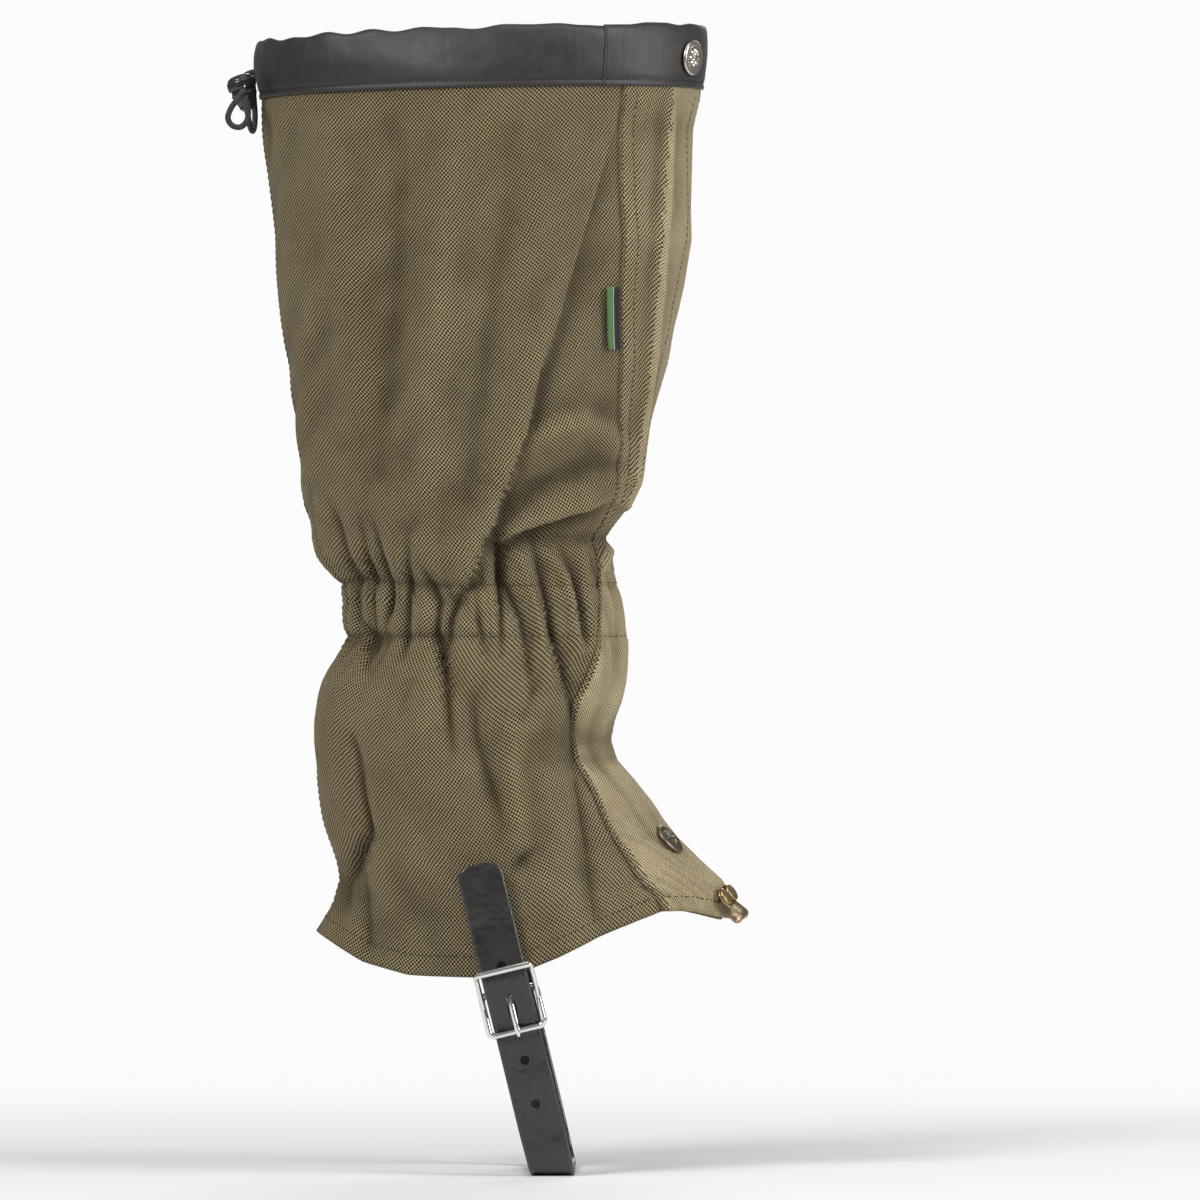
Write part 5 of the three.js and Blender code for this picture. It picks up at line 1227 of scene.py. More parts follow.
LIGHT, DARK = (0.292, 0.238, 0.140), (0.0060, 0.0046, 0.0016)
MAT = dict(
    shell=shell_material("shell_weave", LIGHT, DARK),
    # the flap's copy of the shell weave is lighter than the shell: painted light on the flap
    flap=shell_material("shell_weave_flap_painted_light", (0.395, 0.325, 0.198), (0.0090, 0.0070, 0.0026)),
    # the facing is a finer weave of its own, slightly paler; the rest of its lightness is painted light on the flap
    facing=shell_material("facing_weave_painted_light", (0.500, 0.418, 0.268), (0.070, 0.055, 0.025), pitch=0.00125, contrast=0.95),
    band=band_material(), cord=cord_material(), leather=leather_material("strap_leather_black"),
    # the olive thread is darkened below its own tone: painted shade of the stitch holes
    thread=thread_material("thread_olive_painted_shade", (0.075, 0.058, 0.030)), thread_dark=thread_material("thread_dark", (0.030, 0.026, 0.022)),
    dark_edge=thread_material("dark_edge_strip", (0.055, 0.043, 0.024)),
    chrome=metal_material("buckle_chrome", (0.86, 0.84, 0.82), 0.12), steel=metal_material("rivet_steel", (0.60, 0.58, 0.55), 0.28),
    snap_dark=metal_material("snap_antique", (0.235, 0.190, 0.135), 0.36, dark=(0.045, 0.034, 0.022)),
    snap=metal_material("snap_nickel", (0.60, 0.535, 0.47), 0.27, dark=(0.09, 0.07, 0.055)), brass=metal_material("hook_brass", (0.43, 0.31, 0.155), 0.34, dark=(0.085, 0.055, 0.024)),
    plastic=plastic_material("lock_plastic_black"), label=label_material(),
    hook=tape_material("hook_tape_brown", (0.055, 0.046, 0.034)), loop=tape_material("loop_tape_brown", (0.075, 0.063, 0.045), False),
    elastic=elastic_material(),
)


def dress(ob, mat):
    ob.data.materials.clear()
    ob.data.materials.append(MAT[mat])
    return ob


# ------------------------------------------------------------------ hinge lines of the two flaps; their pieces get their transforms baked
UP_A, UP_B = arr(39.27, -8.39, 276.2), arr(49.12, -55.39, 467.2)
UP_M = unit(np.cross(UP_B - UP_A, arr(0.845, -0.508, -0.169)))
LO_A, LO_B = arr(32.76, -3.93, 191.8), arr(59.62, -40.52, 117.5)
LO_M = unit(np.cross(LO_B - LO_A, arr(0.758, -0.434, 0.488)))
UP_M = UP_M * np.sign(UP_M[1]); LO_M = LO_M * np.sign(LO_M[1])


def flap_blend(ob, which):
    if which == "up":
        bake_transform(ob)
    else:
        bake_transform(ob)


# ------------------------------------------------------------------ shell pieces
UV_ALL = 0.75 * sheet_uv(shell["S"], NF + NO // 2) + 0.25 * sheet_uv(SX, NF + NO // 2)
SHEETS = {}


def shell_piece(name, c0, c1, r0, r1, mat, lift=0.0, thick=1.0):
    P = SX[r0:r1 + 1, c0:c1 + 1] + SN[r0:r1 + 1, c0:c1 + 1] * lift
    uv = UV_ALL[r0:r1 + 1, c0:c1 + 1]
    ob = slab(name, P, thick, uv, N=SN[r0:r1 + 1, c0:c1 + 1])
    rl = RELIEF[r0:r1 + 1, c0:c1 + 1].ravel()
    add_attribute(ob, "relief", np.concatenate([rl, rl]))
    for key, A in (("edge_line", EDGE_D), ("edge_power", EDGE_A), ("press_line", PRESS_D), ("press_power", PRESS_A)):
        part = A[r0:r1 + 1, c0:c1 + 1].ravel()
        add_attribute(ob, key, np.concatenate([part, part]))
    dress(ob, mat)
    w = np.linalg.norm(np.diff(P, axis=1), axis=2).sum(1)
    l = np.linalg.norm(np.diff(P, axis=0), axis=2).sum(0)
    SHEETS[name] = (float(w.max()), float(l.max()), grid_area(P))
    return ob


R_TOP = len(HS) - 1
J_SPLIT = shell["split"]
outer_panel = shell_piece("outer_side_cloth", NF, NF + NO, 0, R_TOP, "shell")
inner_panel = shell_piece("inner_side_cloth", NF + NO, NF + NO + NI, 0, R_TOP, "shell", lift=-0.02)
front_up = shell_piece("front_cloth_upper", 0, NF, J_SPLIT, R_TOP, "flap", lift=0.35, thick=1.1)
front_lo = shell_piece("front_cloth_lower", 0, NF, 0, J_SPLIT, "flap", lift=0.35, thick=1.1)


def facing_faces(ob, rows, fine):
    """The finer facing cloth on the faces picked by fine(column centre, row)."""
    ob.data.materials.append(MAT["facing"])
    nc, nr = NF, rows
    ids = np.zeros(len(ob.data.polygons), np.int32)
    for j in range(nr):
        for i in range(nc):
            if fine(i, j):
                ids[j * nc + i] = 1
                ids[nr * nc + j * nc + i] = 1
    ob.data.polygons.foreach_set("material_index", ids)


def _from_edge(j, i):
    h = HS[j]
    xb, _, xf, _, b, _ = row(h)
    return (STH[j, i] - FREE_EDGE) * float(b) * math.pi / 180


facing_faces(front_up, R_TOP - J_SPLIT, lambda i, j: SX[J_SPLIT + j, i, 0] > np.interp(HS[J_SPLIT + j], [231, 262, 300, 340, 385, 430, 455, 472], [24, 21, 36.5, 42.5, 47.5, 51, 52.7, 53.5]))
facing_faces(front_lo, J_SPLIT, lambda i, j: i < NF - 2)
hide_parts("outer_side_panel"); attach(outer_panel, "root")
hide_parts("inner_side_panel"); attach(inner_panel, "root")
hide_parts("front_panel", "front_flap_upper")
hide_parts("front_flap_lower")


# ------------------------------------------------------------------ stitches
def stitches(name, path, normals, pitch=3.0, run=2.1, r=0.26, lift=0.05, mat="thread", seed=1):
    """A row of stitches along a path of points in mm, each a small rounded loop of thread."""
    path, normals = np.asarray(path, float), unit(normals)
    d = np.concatenate([[0], np.cumsum(np.linalg.norm(np.diff(path, axis=0), axis=1))])
    rs = np.random.default_rng(seed)
    n = max(1, int(d[-1] / pitch))
    V, F = [], []
    ring = 6
    stations = [(-0.5, 0.35, -0.22), (-0.38, 0.85, 0.0), (0, 1.0, 0.10), (0.38, 0.85, 0.0), (0.5, 0.35, -0.22)]
    for i in range(n):
        s = (i + 0.5) * d[-1] / n + rs.uniform(-0.12, 0.12)
        c = np.array([np.interp(s, d, path[:, k]) for k in range(3)])
        e = np.array([np.interp(min(d[-1], s + 0.6), d, path[:, k]) for k in range(3)])
        f = np.array([np.interp(max(0, s - 0.6), d, path[:, k]) for k in range(3)])
        nn = unit(np.array([np.interp(s, d, normals[:, k]) for k in range(3)]))
        t = unit(e - f)
        b = unit(np.cross(nn, t))
        nn = np.cross(t, b)
        base = len(V)
        for (a, k, up) in stations:
            for q in range(ring):
                an = q / ring * 2 * math.pi
                V.append(c + t * (a * run) + b * (math.cos(an) * r * k) + nn * (math.sin(an) * r * k * 0.8 + lift + up))
        for a in range(len(stations) - 1):
            for q in range(ring):
                F.append([base + a * ring + q, base + a * ring + (q + 1) % ring, base + (a + 1) * ring + (q + 1) % ring, base + (a + 1) * ring + q])
        F.append([base + q for q in range(ring)][::-1])
        F.append([base + (len(stations) - 1) * ring + q for q in range(ring)])
    ob = make(name, np.array(V), F)
    fix_normals(ob)
    dress(ob, mat)
    return ob


def row_path(j_or_h, th0, th1, n=None, off=0.0):
    hh = j_or_h
    n = n or int(abs(th1 - th0) / 1.0) + 2
    return on_sheet(np.linspace(th0, th1, n), np.full(n, hh), off, True)


def col_path(th_of_h, h0, h1, n=None, off=0.0):
    n = n or int(abs(h1 - h0) / 2.0) + 2
    hh = np.linspace(h0, h1, n)
    return on_sheet(np.array([float(th_of_h(h)) for h in hh]), hh, off, True)


def seam_bias(h, mm):
    """Angle of a line that runs mm ahead (+ towards the front) of the lateral seam."""
    xb, _, xf, _, b, _ = row(h)
    s = float(seam_at(h))
    per = math.hypot((float(xf) - float(xb)) / 2 * math.sin(math.radians(s)), float(b) * math.cos(math.radians(s))) * math.pi / 180
    return s - mm / max(per, 0.3)


def free_bias(h, mm):
    xb, _, xf, _, b, _ = row(h)
    return FREE_EDGE + mm / (float(b) * math.pi / 180)


rooted, upper_st, lower_st = [], [], []
for k, hh in enumerate((GATHER_HI, GATHER_LO)):
    p, n = row_path(hh, seam_at(hh) + 1.0, 345, 260)
    rooted.append(stitches(f"gather_{k}", p, n, 2.6, 1.9, 0.24, seed=20 + k))
p, n = row_path(107.5, float(seam_at(107.5)) + 1, 179, 180)
rooted.append(stitches("hem_outer", p, n, 3.0, 2.1, 0.24, seed=31))
p, n = row_path(107.5, 181, 340, 180)
rooted.append(stitches("hem_inner", p, n, 3.0, 2.1, 0.24, seed=32))
for k, dth in enumerate((-2.2, 2.2)):
    p, n = col_path(lambda h: 180 + dth, 112, 466)
    rooted.append(stitches(f"back_{k}", p, n, 3.0, 2.1, 0.24, seed=33 + k))
shell_stitches = merge("shell_stitching", rooted)
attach(shell_stitches, "root")

for k, mm in enumerate((1.6, 8.0)):
    p, n = col_path(lambda h: max(seam_bias(h, mm), FREE_EDGE + 1), 292 if k else 262, 470, off=0.35)
    upper_st.append(stitches(f"up_{k}", p, n, 3.0, 2.2, 0.26, seed=41 + k))
p, n = col_path(lambda h: free_bias(h, 1.5), 286, 470, off=0.35)
upper_st.append(stitches("up_free", p, n, 3.0, 2.2, 0.26, seed=45))
p, n = col_path(lambda h: min(free_bias(h, 16.5), float(seam_at(h)) - 6), 300, 470, off=0.35)
upper_st.append(stitches("up_tape", p, n, 3.0, 2.2, 0.26, seed=46))
p, n = row_path(GATHER_HI + 1.5, FREE_EDGE + 1, float(seam_at(GATHER_HI)) - 1, 60, off=0.35)
upper_st.append(stitches("up_gather", p, n, 2.6, 1.9, 0.24, seed=47))
upper_stitches = merge("upper_flap_stitching", upper_st)

for k, mm in enumerate((1.6,)):
    p, n = col_path(lambda h: max(seam_bias(h, mm), FREE_EDGE + 1), 104, 232, off=0.35)
    lower_st.append(stitches(f"lo_{k}", p, n, 3.0, 2.2, 0.26, seed=51 + k))
p, n = col_path(lambda h: free_bias(h, 1.5), 104, 228, off=0.35)
lower_st.append(stitches("lo_free", p, n, 3.0, 2.2, 0.26, seed=55))
p, n = row_path(GATHER_LO, FREE_EDGE + 1, float(seam_at(GATHER_LO)) - 1, 60, off=0.35)
lower_st.append(stitches("lo_gather", p, n, 2.6, 1.9, 0.24, seed=57))
p, n = row_path(106.5, FREE_EDGE + 2, float(seam_at(106)) - 1, 60, off=0.35)
lower_st.append(stitches("lo_hem", p, n, 3.0, 2.1, 0.24, seed=58))
lower_stitches = merge("lower_flap_stitching", lower_st)


# a thin dark round strip along the flap's free edge
def edging(name, h0, h1, off, r=0.55):
    p, n = col_path(lambda h: FREE_EDGE + 0.05, h0, h1, off=off)
    sec = circle(r, 10, r * 0.75)
    ob = sweep(name, p, sec, up=n[0])
    return dress(ob, "dark_edge")


edge_up = edging("flap_edge_upper", GATHER_HI, 470, -0.2)
edge_lo = edging("flap_edge_lower", 101, GATHER_HI, -0.2)

# ------------------------------------------------------------------ the satin band
def pucker(th, v):
    """Ripples of the band: mostly upright folds, with some slack near the top."""
    a = value_noise(th * 1.05 + 400, v * 18, 61, 9) * 0.75 + value_noise(th + 900, v * 30, 62, 4.2) * 0.4 + value_noise(th + 50, v * 8, 63, 22) * 0.8
    return a * (0.35 + 0.65 * np.sin(np.pi * np.clip(v, 0, 1)) ** 0.6)


def band_piece(name, t0, t1, n, sink_fn, wave_top=True, fold=True):
    th = np.linspace(t0, t1, n)
    # profile from the outer lower edge, over the fold at the top, to the inner lower edge
    if fold:
        prof = [(1.05, -0.02), (1.25, 0.02), (1.2, 0.05), (0.62, 0.085), (1.3, 0.12), (1.6, 0.18), (1.9, 0.25), (2.15, 0.33), (2.3, 0.42), (2.4, 0.52), (2.35, 0.62), (2.2, 0.72),
                (1.9, 0.82), (1.5, 0.90), (0.9, 0.965), (-0.1, 1.0), (-1.3, 0.985), (-2.3, 0.93), (-2.9, 0.84), (-3.1, 0.7), (-3.2, 0.55), (-3.1, 0.4), (-2.8, 0.25), (-2.3, 0.12), (-2.1, 0.02)]
    prof = np.array(prof)
    P = np.zeros((len(prof), n, 3))
    topw = 1.1 * value_noise(th * 1.0 + 77, th * 0, 71, 7) + 0.9 * value_noise(th + 11, th * 0, 72, 16)
    for i, (o, v) in enumerate(prof):
        lo, hi = band_low(th), band_high(th) + (topw if wave_top else 0)
        outer = smooth((o + 1.0) / 2.0)
        pk = pucker(th, np.full(n, v)) * (0.9 if o > 0 else 0.5) * np.clip((v - 0.2) / 0.25, 0, 1)
        off = o + pk + sink_fn(th)
        P[i] = on_shell(th, lerp(lo, hi, v), off)
    return P, th


def band_uv(P):
    u = np.concatenate([np.zeros((P.shape[0], 1)), np.cumsum(np.linalg.norm(np.diff(P, axis=1), axis=2), 1)], 1)
    u = np.repeat(u.mean(0, keepdims=True), P.shape[0], 0)
    v = np.concatenate([np.zeros((1, P.shape[1])), np.cumsum(np.linalg.norm(np.diff(P, axis=0), axis=2), 0)], 0)
    return np.stack([u, np.repeat(v.mean(1, keepdims=True), P.shape[1], 1)], -1) * MM


SEAM_TOP = float(seam_at(480))
BAND_SPLIT = SEAM_TOP + 6.0
Pm, thm = band_piece("band", BAND_SPLIT, 360 + 30, 330, lambda th: np.where(th > 180, inner_out(th - 360, 470 + 0 * th), 0))
band_main = slab("top_band_cloth", Pm, 0.45, band_uv(Pm))
dress(band_main, "band")
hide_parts("top_band"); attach(band_main, "root")
Pf, thf = band_piece("band", FREE_EDGE, BAND_SPLIT + 0.8, 64, lambda th: np.zeros_like(th))
# the flap's end of the band is a flat hem two layers deep
flat = np.linspace(0, 1, Pf.shape[0])
prof_f = [(1.15, -0.02), (1.3, 0.02), (1.25, 0.05), (0.75, 0.085), (1.25, 0.12), (1.35, 0.18), (1.4, 0.25), (1.45, 0.33), (1.45, 0.42), (1.45, 0.55), (1.4, 0.7), (1.3, 0.82), (1.1, 0.92), (0.6, 0.985), (0.0, 1.0),
          (-0.5, 0.975), (-0.8, 0.9), (-0.9, 0.75), (-0.95, 0.6), (-0.95, 0.4), (-0.9, 0.2), (-0.85, 0.0)]
prof_f = np.array(prof_f)
Pf = np.zeros((len(prof_f), len(thf), 3))
topw = 0.7 * value_noise(thf + 77 + 0, thf * 0, 71, 7) * smooth((thf + 3) / 20)
lift_to = smooth((thf - (SEAM_TOP - 16)) / 20)
for i, (o, v) in enumerate(prof_f):
    o2 = np.interp(v, [0, 0.02, 0.05, 0.085, 0.12, 0.18, 0.25, 0.42, 0.52, 0.72, 0.82, 0.9, 0.965, 1.0], [1.15, 1.25, 1.2, 0.62, 1.3, 1.6, 1.9, 2.3, 2.4, 2.2, 1.9, 1.5, 0.9, -0.1]) if i < 15 else o
    pk = pucker(thf, np.full(len(thf), v)) * 0.55 * (1 if o > 0 else 0.2) * np.clip((v - 0.2) / 0.25, 0, 1)
    off = lerp(o, o2 + (0.35 if i < 15 else 0), lift_to) + pk * (0.4 + 0.6 * lift_to)
    Pf[i] = on_shell(thf, lerp(band_low(thf), band_high(thf) + topw, v), off)
band_flap = slab("flap_band_cloth", Pf, 0.45, band_uv(Pf))
dress(band_flap, "band")
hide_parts("flap_band")

# band stitching in its groove
bs = []
for k, v in enumerate((0.085,)):
    th = np.linspace(BAND_SPLIT + 0.6, 338, 330)
    n = normal(th, band_low(th))
    pth = on_shell(th, lerp(band_low(th), band_high(th), v), 0.72 + np.where(th > 180, inner_out(th - 360, 470 + 0 * th), 0))
    bs.append(stitches(f"bs{k}", pth, n, 2.6, 1.8, 0.22, 0.0, "thread_dark", 81 + k))
band_stitches = merge("band_stitching", bs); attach(band_stitches, "root")
bs = []
for k, v in enumerate((0.085,)):
    th = np.linspace(FREE_EDGE + 1.5, BAND_SPLIT, 64)
    n = normal(th, band_low(th))
    lt = smooth((th - (SEAM_TOP - 16)) / 20)
    pth = on_shell(th, lerp(band_low(th), band_high(th), v), 0.85 + 0.35 * lt)
    bs.append(stitches(f"bf{k}", pth, n, 2.6, 1.8, 0.22, 0.0, "thread_dark", 84 + k))
flap_band_stitches = merge("flap_band_stitching", bs)

# stitched eyelets where the drawcord leaves the band
eyes = []
for y in EXIT_Y:
    c = arr(back_x(y) - 2.2, y, EXIT_Z)
    a = np.linspace(0, 2 * math.pi, 33)[:-1]
    ring = np.stack([c[0] + 0 * a, c[1] + 2.0 * np.cos(a), c[2] + 2.0 * np.sin(a)], -1)
    eyes.append(sweep("eye", ring, circle(0.55, 8), up=(1, 0, 0), closed=True))
eyelets = merge("drawcord_eyelets", eyes)
dress(eyelets, "thread_dark")
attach(eyelets, "root")

# ------------------------------------------------------------------ inside pieces: elastic, facings, tapes, seam tape
def inside_strip(name, t0, t1, nth, h0, h1, nh, off, thick, mat, node, body=None, th_of=None):
    hh = np.linspace(h0, h1, nh)
    if th_of is None:
        T = np.linspace(t0, t1, nth)[None] * np.ones((nh, 1))
    else:
        T = np.stack([np.linspace(*th_of(h), nth) for h in hh])
    P, Q = on_sheet(T, hh[:, None] * np.ones((1, nth)), 0.0, True)
    uv = sheet_uv(P)
    ob = slab(name, P + Q * off, thick, uv, N=Q)
    dress(ob, mat)
    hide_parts(*([node] if isinstance(node, str) else node))
    if body:
        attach(ob, body)
    return ob


inside_strip("ankle_elastic_band", 62, 300, 200, 234, 254, 14, -1.35, 0.9, "elastic", "ankle_elastic", "root")
inside_strip("hem_facing_outer_cloth", 0, 1, 120, 100.6, 111, 8, -1.25, 0.6, "shell", "hem_facing_outer", "root",
             th_of=lambda h: (float(seam_at(h)) + 1.5, 179.0))
inside_strip("hem_facing_inner_cloth", 181, 294, 120, 100.6, 111, 8, -1.25, 0.6, "shell", "hem_facing_inner", "root")
inside_strip("back_seam_tape_strip", 176, 184, 6, 258, 466, 110, -1.3, 0.6, "shell", "back_seam_tape", "root")


def tape_span(h, e, w):
    a = e - 1.2
    return (a - w, a)


TW = 18 / 66 * 180 / math.pi
hook_up = inside_strip("hook_tape_upper_strip", 0, 1, 12, 326, 460, 60, -1.1 + 0.35, 0.9, "hook", "hook_tape_upper", None,
                       th_of=lambda h: (max(float(up_edge(h)) - 1.2 - TW, FREE_EDGE + 1.5), float(up_edge(h)) - 1.2))
inside_strip("loop_tape_upper_strip", 0, 1, 12, 326, 460, 60, 0.95, 0.9, "loop", "loop_tape_upper", "root",
             th_of=lambda h: (360 + max(float(up_edge(h)) - 1.2 - TW, FREE_EDGE + 1.5), 360 + float(up_edge(h)) - 1.2))
TL = 12 / 50 * 180 / math.pi
hook_lo = inside_strip("hook_tape_lower_strip", 0, 1, 10, 108, 130, 12, -1.1 + 0.35, 0.9, "hook", "hook_tape_lower", None,
                       th_of=lambda h: (float(lo_edge(h)) - 1.5 - TL, float(lo_edge(h)) - 1.5))
inside_strip("loop_tape_lower_strip", 0, 1, 10, 108, 130, 12, 0.95, 0.9, "loop", "loop_tape_lower", "root",
             th_of=lambda h: (360 + float(lo_edge(h)) - 1.5 - TL, 360 + float(lo_edge(h)) - 1.5))

# ------------------------------------------------------------------ label
nl, ml = 22, 26
hh = np.linspace(357.7, 385, nl)
lab = []
for h in hh:
    s = float(seam_at(h)) + 0.3
    base, nrm = on_sheet(s, h, 0.0, True)
    t2, _ = on_sheet(s + 3, h, 0.0, True)
    back = unit(t2[0] - base[0])
    w = np.concatenate([np.linspace(0, 7.2, ml // 2), np.linspace(7.2, 0, ml // 2)])
    lift = np.concatenate([0.55 + 1.15 * smooth(np.linspace(0, 1, ml // 2)) * (1 + 0.25 * math.sin((h - 357) / 27 * 3.1)), 0.30 + 1.05 * smooth(np.linspace(1, 0, ml // 2))])
    lift = lift + np.concatenate([np.full(ml // 2, 0.42), np.zeros(ml // 2)])
    lab.append([base[0] + back * a + nrm[0] * b for a, b in zip(w, lift)])
lab = np.array(lab)
lab_uv = np.stack(np.broadcast_arrays(np.concatenate([np.linspace(0.02, 1, ml // 2), np.linspace(1, 0.02, ml // 2)])[None], ((hh - hh[0]) / 27.3)[:, None]), -1)
label = slab("side_label_loop", lab, 0.3, lab_uv)
dress(label, "label")
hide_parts("side_label"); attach(label, "root")

# ------------------------------------------------------------------ snaps
def snap_frame(x, z, out, on_band):
    h, th = find(x, z)
    n = normal(th, h)
    if on_band:
        return on_shell(th, h, np.array(out)), n
    p, q = on_sheet(th, h, 0.35 + out, True)
    return p[0], unit(q[0] * 0.4 + n * 0.6)


def rosette(R):
    def f(a, r, h):
        if 0.62 * R < r < 0.80 * R:                       # beaded ring
            return r, h + 0.34 * max(0, math.cos(26 * a))
        if 0.16 * R < r < 0.55 * R:                       # petals
            return r, h + 0.42 * math.cos(8 * a) * math.sin(math.pi * (r - 0.16 * R) / (0.39 * R))
        return r, h
    return f


def snap_cap(name, p, n, node, R=7.7):
    prof = [(0, -0.2), (R * 0.5, -0.2), (R - 0.7, -0.15), (R - 0.15, 0.15), (R, 0.6), (R - 0.1, 1.1), (R - 0.7, 1.55), (R - 1.3, 1.62), (R - 1.7, 1.42), (R * 0.74, 1.45), (R * 0.70, 1.62), (R * 0.66, 1.62), (R * 0.60, 1.55),
            (R * 0.55, 1.72), (R * 0.46, 1.86), (R * 0.36, 1.98), (R * 0.26, 2.06), (R * 0.18, 2.1), (R * 0.12, 2.26), (R * 0.05, 2.34), (0, 2.36)]
    ob = lathe(name, prof, p, n, 84, rosette(R))
    dress(ob, "snap")
    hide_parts(node)
    return ob


pT, nT = snap_frame(59.6, 486.0, 1.75, True)
snap_top = snap_cap("snap_top_button", pT, nT, "snap_top_cap"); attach(snap_top, "flap_upper")
pL, nL = snap_frame(51.2, 143.5, 0.2, False)
snap_low = snap_cap("snap_low_button", pL, nL, "snap_low_cap"); dress(snap_low, "snap_dark"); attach(snap_low, "flap_lower")

# ------------------------------------------------------------------ lace hook
HOOK_TH = 16.0
HOOK_H = 108.4
hn = normal(HOOK_TH, 110.0)
hdown = surf(HOOK_TH, 107.5) - surf(HOOK_TH, 114)
hdown = unit(hdown - hn * np.dot(hdown, hn))
hside = unit(np.cross(hdown, hn))
hbase = on_shell(HOOK_TH, HOOK_H, np.array(1.1))


def hook_pt(d, n, s):
    return hbase + hdown * d + hn * n + hside * s


# one stamped plate: broad rounded shoulders under the rivets, a tongue bent outwards, its end folded under
hu = np.array([math.cos(math.radians(20)), math.sin(math.radians(20))])
hv = np.array([hu[1], -hu[0]])
prof = [(-4.3, -0.1, 3.2), (-4.1, 0, 4.6), (-3.3, 0, 6.1), (-1.9, 0, 7.2), (0, 0, 7.55), (1.9, 0, 7.2), (3.3, 0.05, 6.1), (4.3, 0.22, 5.45), (5.4, 0.6, 5.25)]
hend = np.array([4.6, 0.3]) + 5.4 * hu
hmid = hend + 2.0 * hv
for i in range(10):
    f = math.pi * i / 9
    q = hmid - 2.0 * hv * math.cos(f) + 2.0 * hu * math.sin(f)
    prof.append((q[0], q[1], 5.15))
for k in (1.3, 2.4):
    q = hmid + 2.0 * hv - k * hu
    prof.append((q[0], q[1], 5.15 - 0.25 * k))
line = spline(prof, 0.3)
sec = [(-7.5, -0.30), (-7.38, -0.44), (-7.1, -0.5), (7.1, -0.5), (7.38, -0.44), (7.5, -0.30), (7.5, 0.30), (7.4, 0.46), (7.1, 0.54), (6.6, 0.52), (6.2, 0.38), (-6.2, 0.38), (-6.6, 0.52), (-7.1, 0.54), (-7.4, 0.46), (-7.5, 0.30)]
path = np.array([hook_pt(d, n, 0) for d, n, _ in line])
wd = np.clip(line[:, 2], 3.0, 7.6) / 7.5
lace_hook = sweep("lace_hook_plate", path, sec, wdirs=np.repeat(hside[None], len(path), 0), scale=np.stack([wd, np.ones_like(wd)], -1))
bevel(lace_hook, 0.10, 2, 50)
dress(lace_hook, "brass")
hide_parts("lace_hook"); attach(lace_hook, "flap_lower")
for i, s in enumerate((-4.3, 4.3)):
    p = on_shell(HOOK_TH, HOOK_H, np.array(0.0)) + hside * s
    prof = [(0, -4.6), (0.9, -4.6), (1.0, 1.65), (3.3, 1.68), (3.8, 1.9), (3.98, 2.3), (3.95, 2.75), (3.7, 3.1), (3.2, 3.3), (3.0, 3.22), (2.7, 3.3), (1.8, 3.55), (0.9, 3.68), (0, 3.7)]
    o = lathe(f"lace_hook_rivet_head_{'ab'[i]}", prof, p, hn, 44)
    dress(o, "brass")
    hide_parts(f"lace_hook_rivet_{'ab'[i]}"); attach(o, "flap_lower")

# ------------------------------------------------------------------ strap
def corner(cy, ch, r, a0, a1, n):
    return [(cy + r * math.cos(math.radians(lerp(a0, a1, i / n))), ch + r * math.sin(math.radians(lerp(a0, a1, i / n)))) for i in range(n + 1)]


FLAT = 1.2 / math.cos(TILT)
strap_path = [(53.4, 114), (53.4, 108), (53.4, 96), (53.2, 86), (51.6, 74), (49.2, 58), (45.6, 36), (42.6, 18)] + corner(31.5, 11 - FLAT, 11, -5, -90, 6) + \
    [(12, -FLAT), (0, -FLAT), (-12, -FLAT)] + corner(-31.5, 11 - FLAT, 11, -90, -175, 6) + \
    [(-43.6, 25), (-45.6, 44), (-46.9, 56), (-47.4, 62.9), (-48.6, 66.6), (-51.2, 71.4), (-54.0, 76.6), (-55.6, 81), (-56.1, 85), (-56.1, 95.2)] + \
    [(-56.1, 104), (-56.1, 112), (-56.3, 122), (-56.5, 137.6)]
TIP_H = 137.6


def strap_mesh():
    pts = spline([(y, h, 0) for y, h in strap_path], 1.0)[:, :2]
    C = np.array([strap_point(y, h) for y, h in pts])
    Wd = np.array([strap_w(h) for y, h in pts])
    T = unit(np.gradient(C, axis=0))
    Nn = unit(np.cross(T, Wd))
    half = np.full(len(pts), 10.0)
    lat = pts[:, 0] < 0
    dtip = np.where(lat, TIP_H - pts[:, 1], 99)
    half = np.where(dtip < 6.5, 10.0 - 6.5 + np.sqrt(np.maximum(0, 6.5 ** 2 - (6.5 - dtip) ** 2)), half)
    half = np.maximum(half, 3.4)
    dm = np.where(~lat, 114 - pts[:, 1], 99)
    half = np.where(dm < 4, 10.0 - 4 + np.sqrt(np.maximum(0, 16 - (4 - dm) ** 2)), half)
    t = 1.2
    nacross = 18
    sec = [(-1.0, -0.45), (-0.965, -0.85)] + [(q, -1.0 + 0.0) for q in np.linspace(-0.9, 0.9, nacross)] + [(0.965, -0.85), (1.0, -0.45), (1.0, 0.45), (0.965, 0.85)] + [(q, 1.0) for q in np.linspace(0.9, -0.9, nacross)] + [(-0.965, 0.85), (-1.0, 0.45)]
    sec = np.array(sec)
    m = len(sec)
    V = C[:, None] + Wd[:, None] * (sec[None, :, :1] * half[:, None, None]) + Nn[:, None] * (sec[None, :, 1:2] * t)
    n = len(C)
    i = np.arange(n - 1)[:, None]; j = np.arange(m)[None]
    F = [list(f) for f in np.stack([i * m + j, i * m + (j + 1) % m, (i + 1) * m + (j + 1) % m, (i + 1) * m + j], -1).reshape(-1, 4)]
    F.append(list(range(m))[::-1]); F.append(list(range((n - 1) * m, n * m)))
    ob = make("instep_strap_leather", V.reshape(-1, 3), F)
    return fix_normals(ob)


strap = strap_mesh()


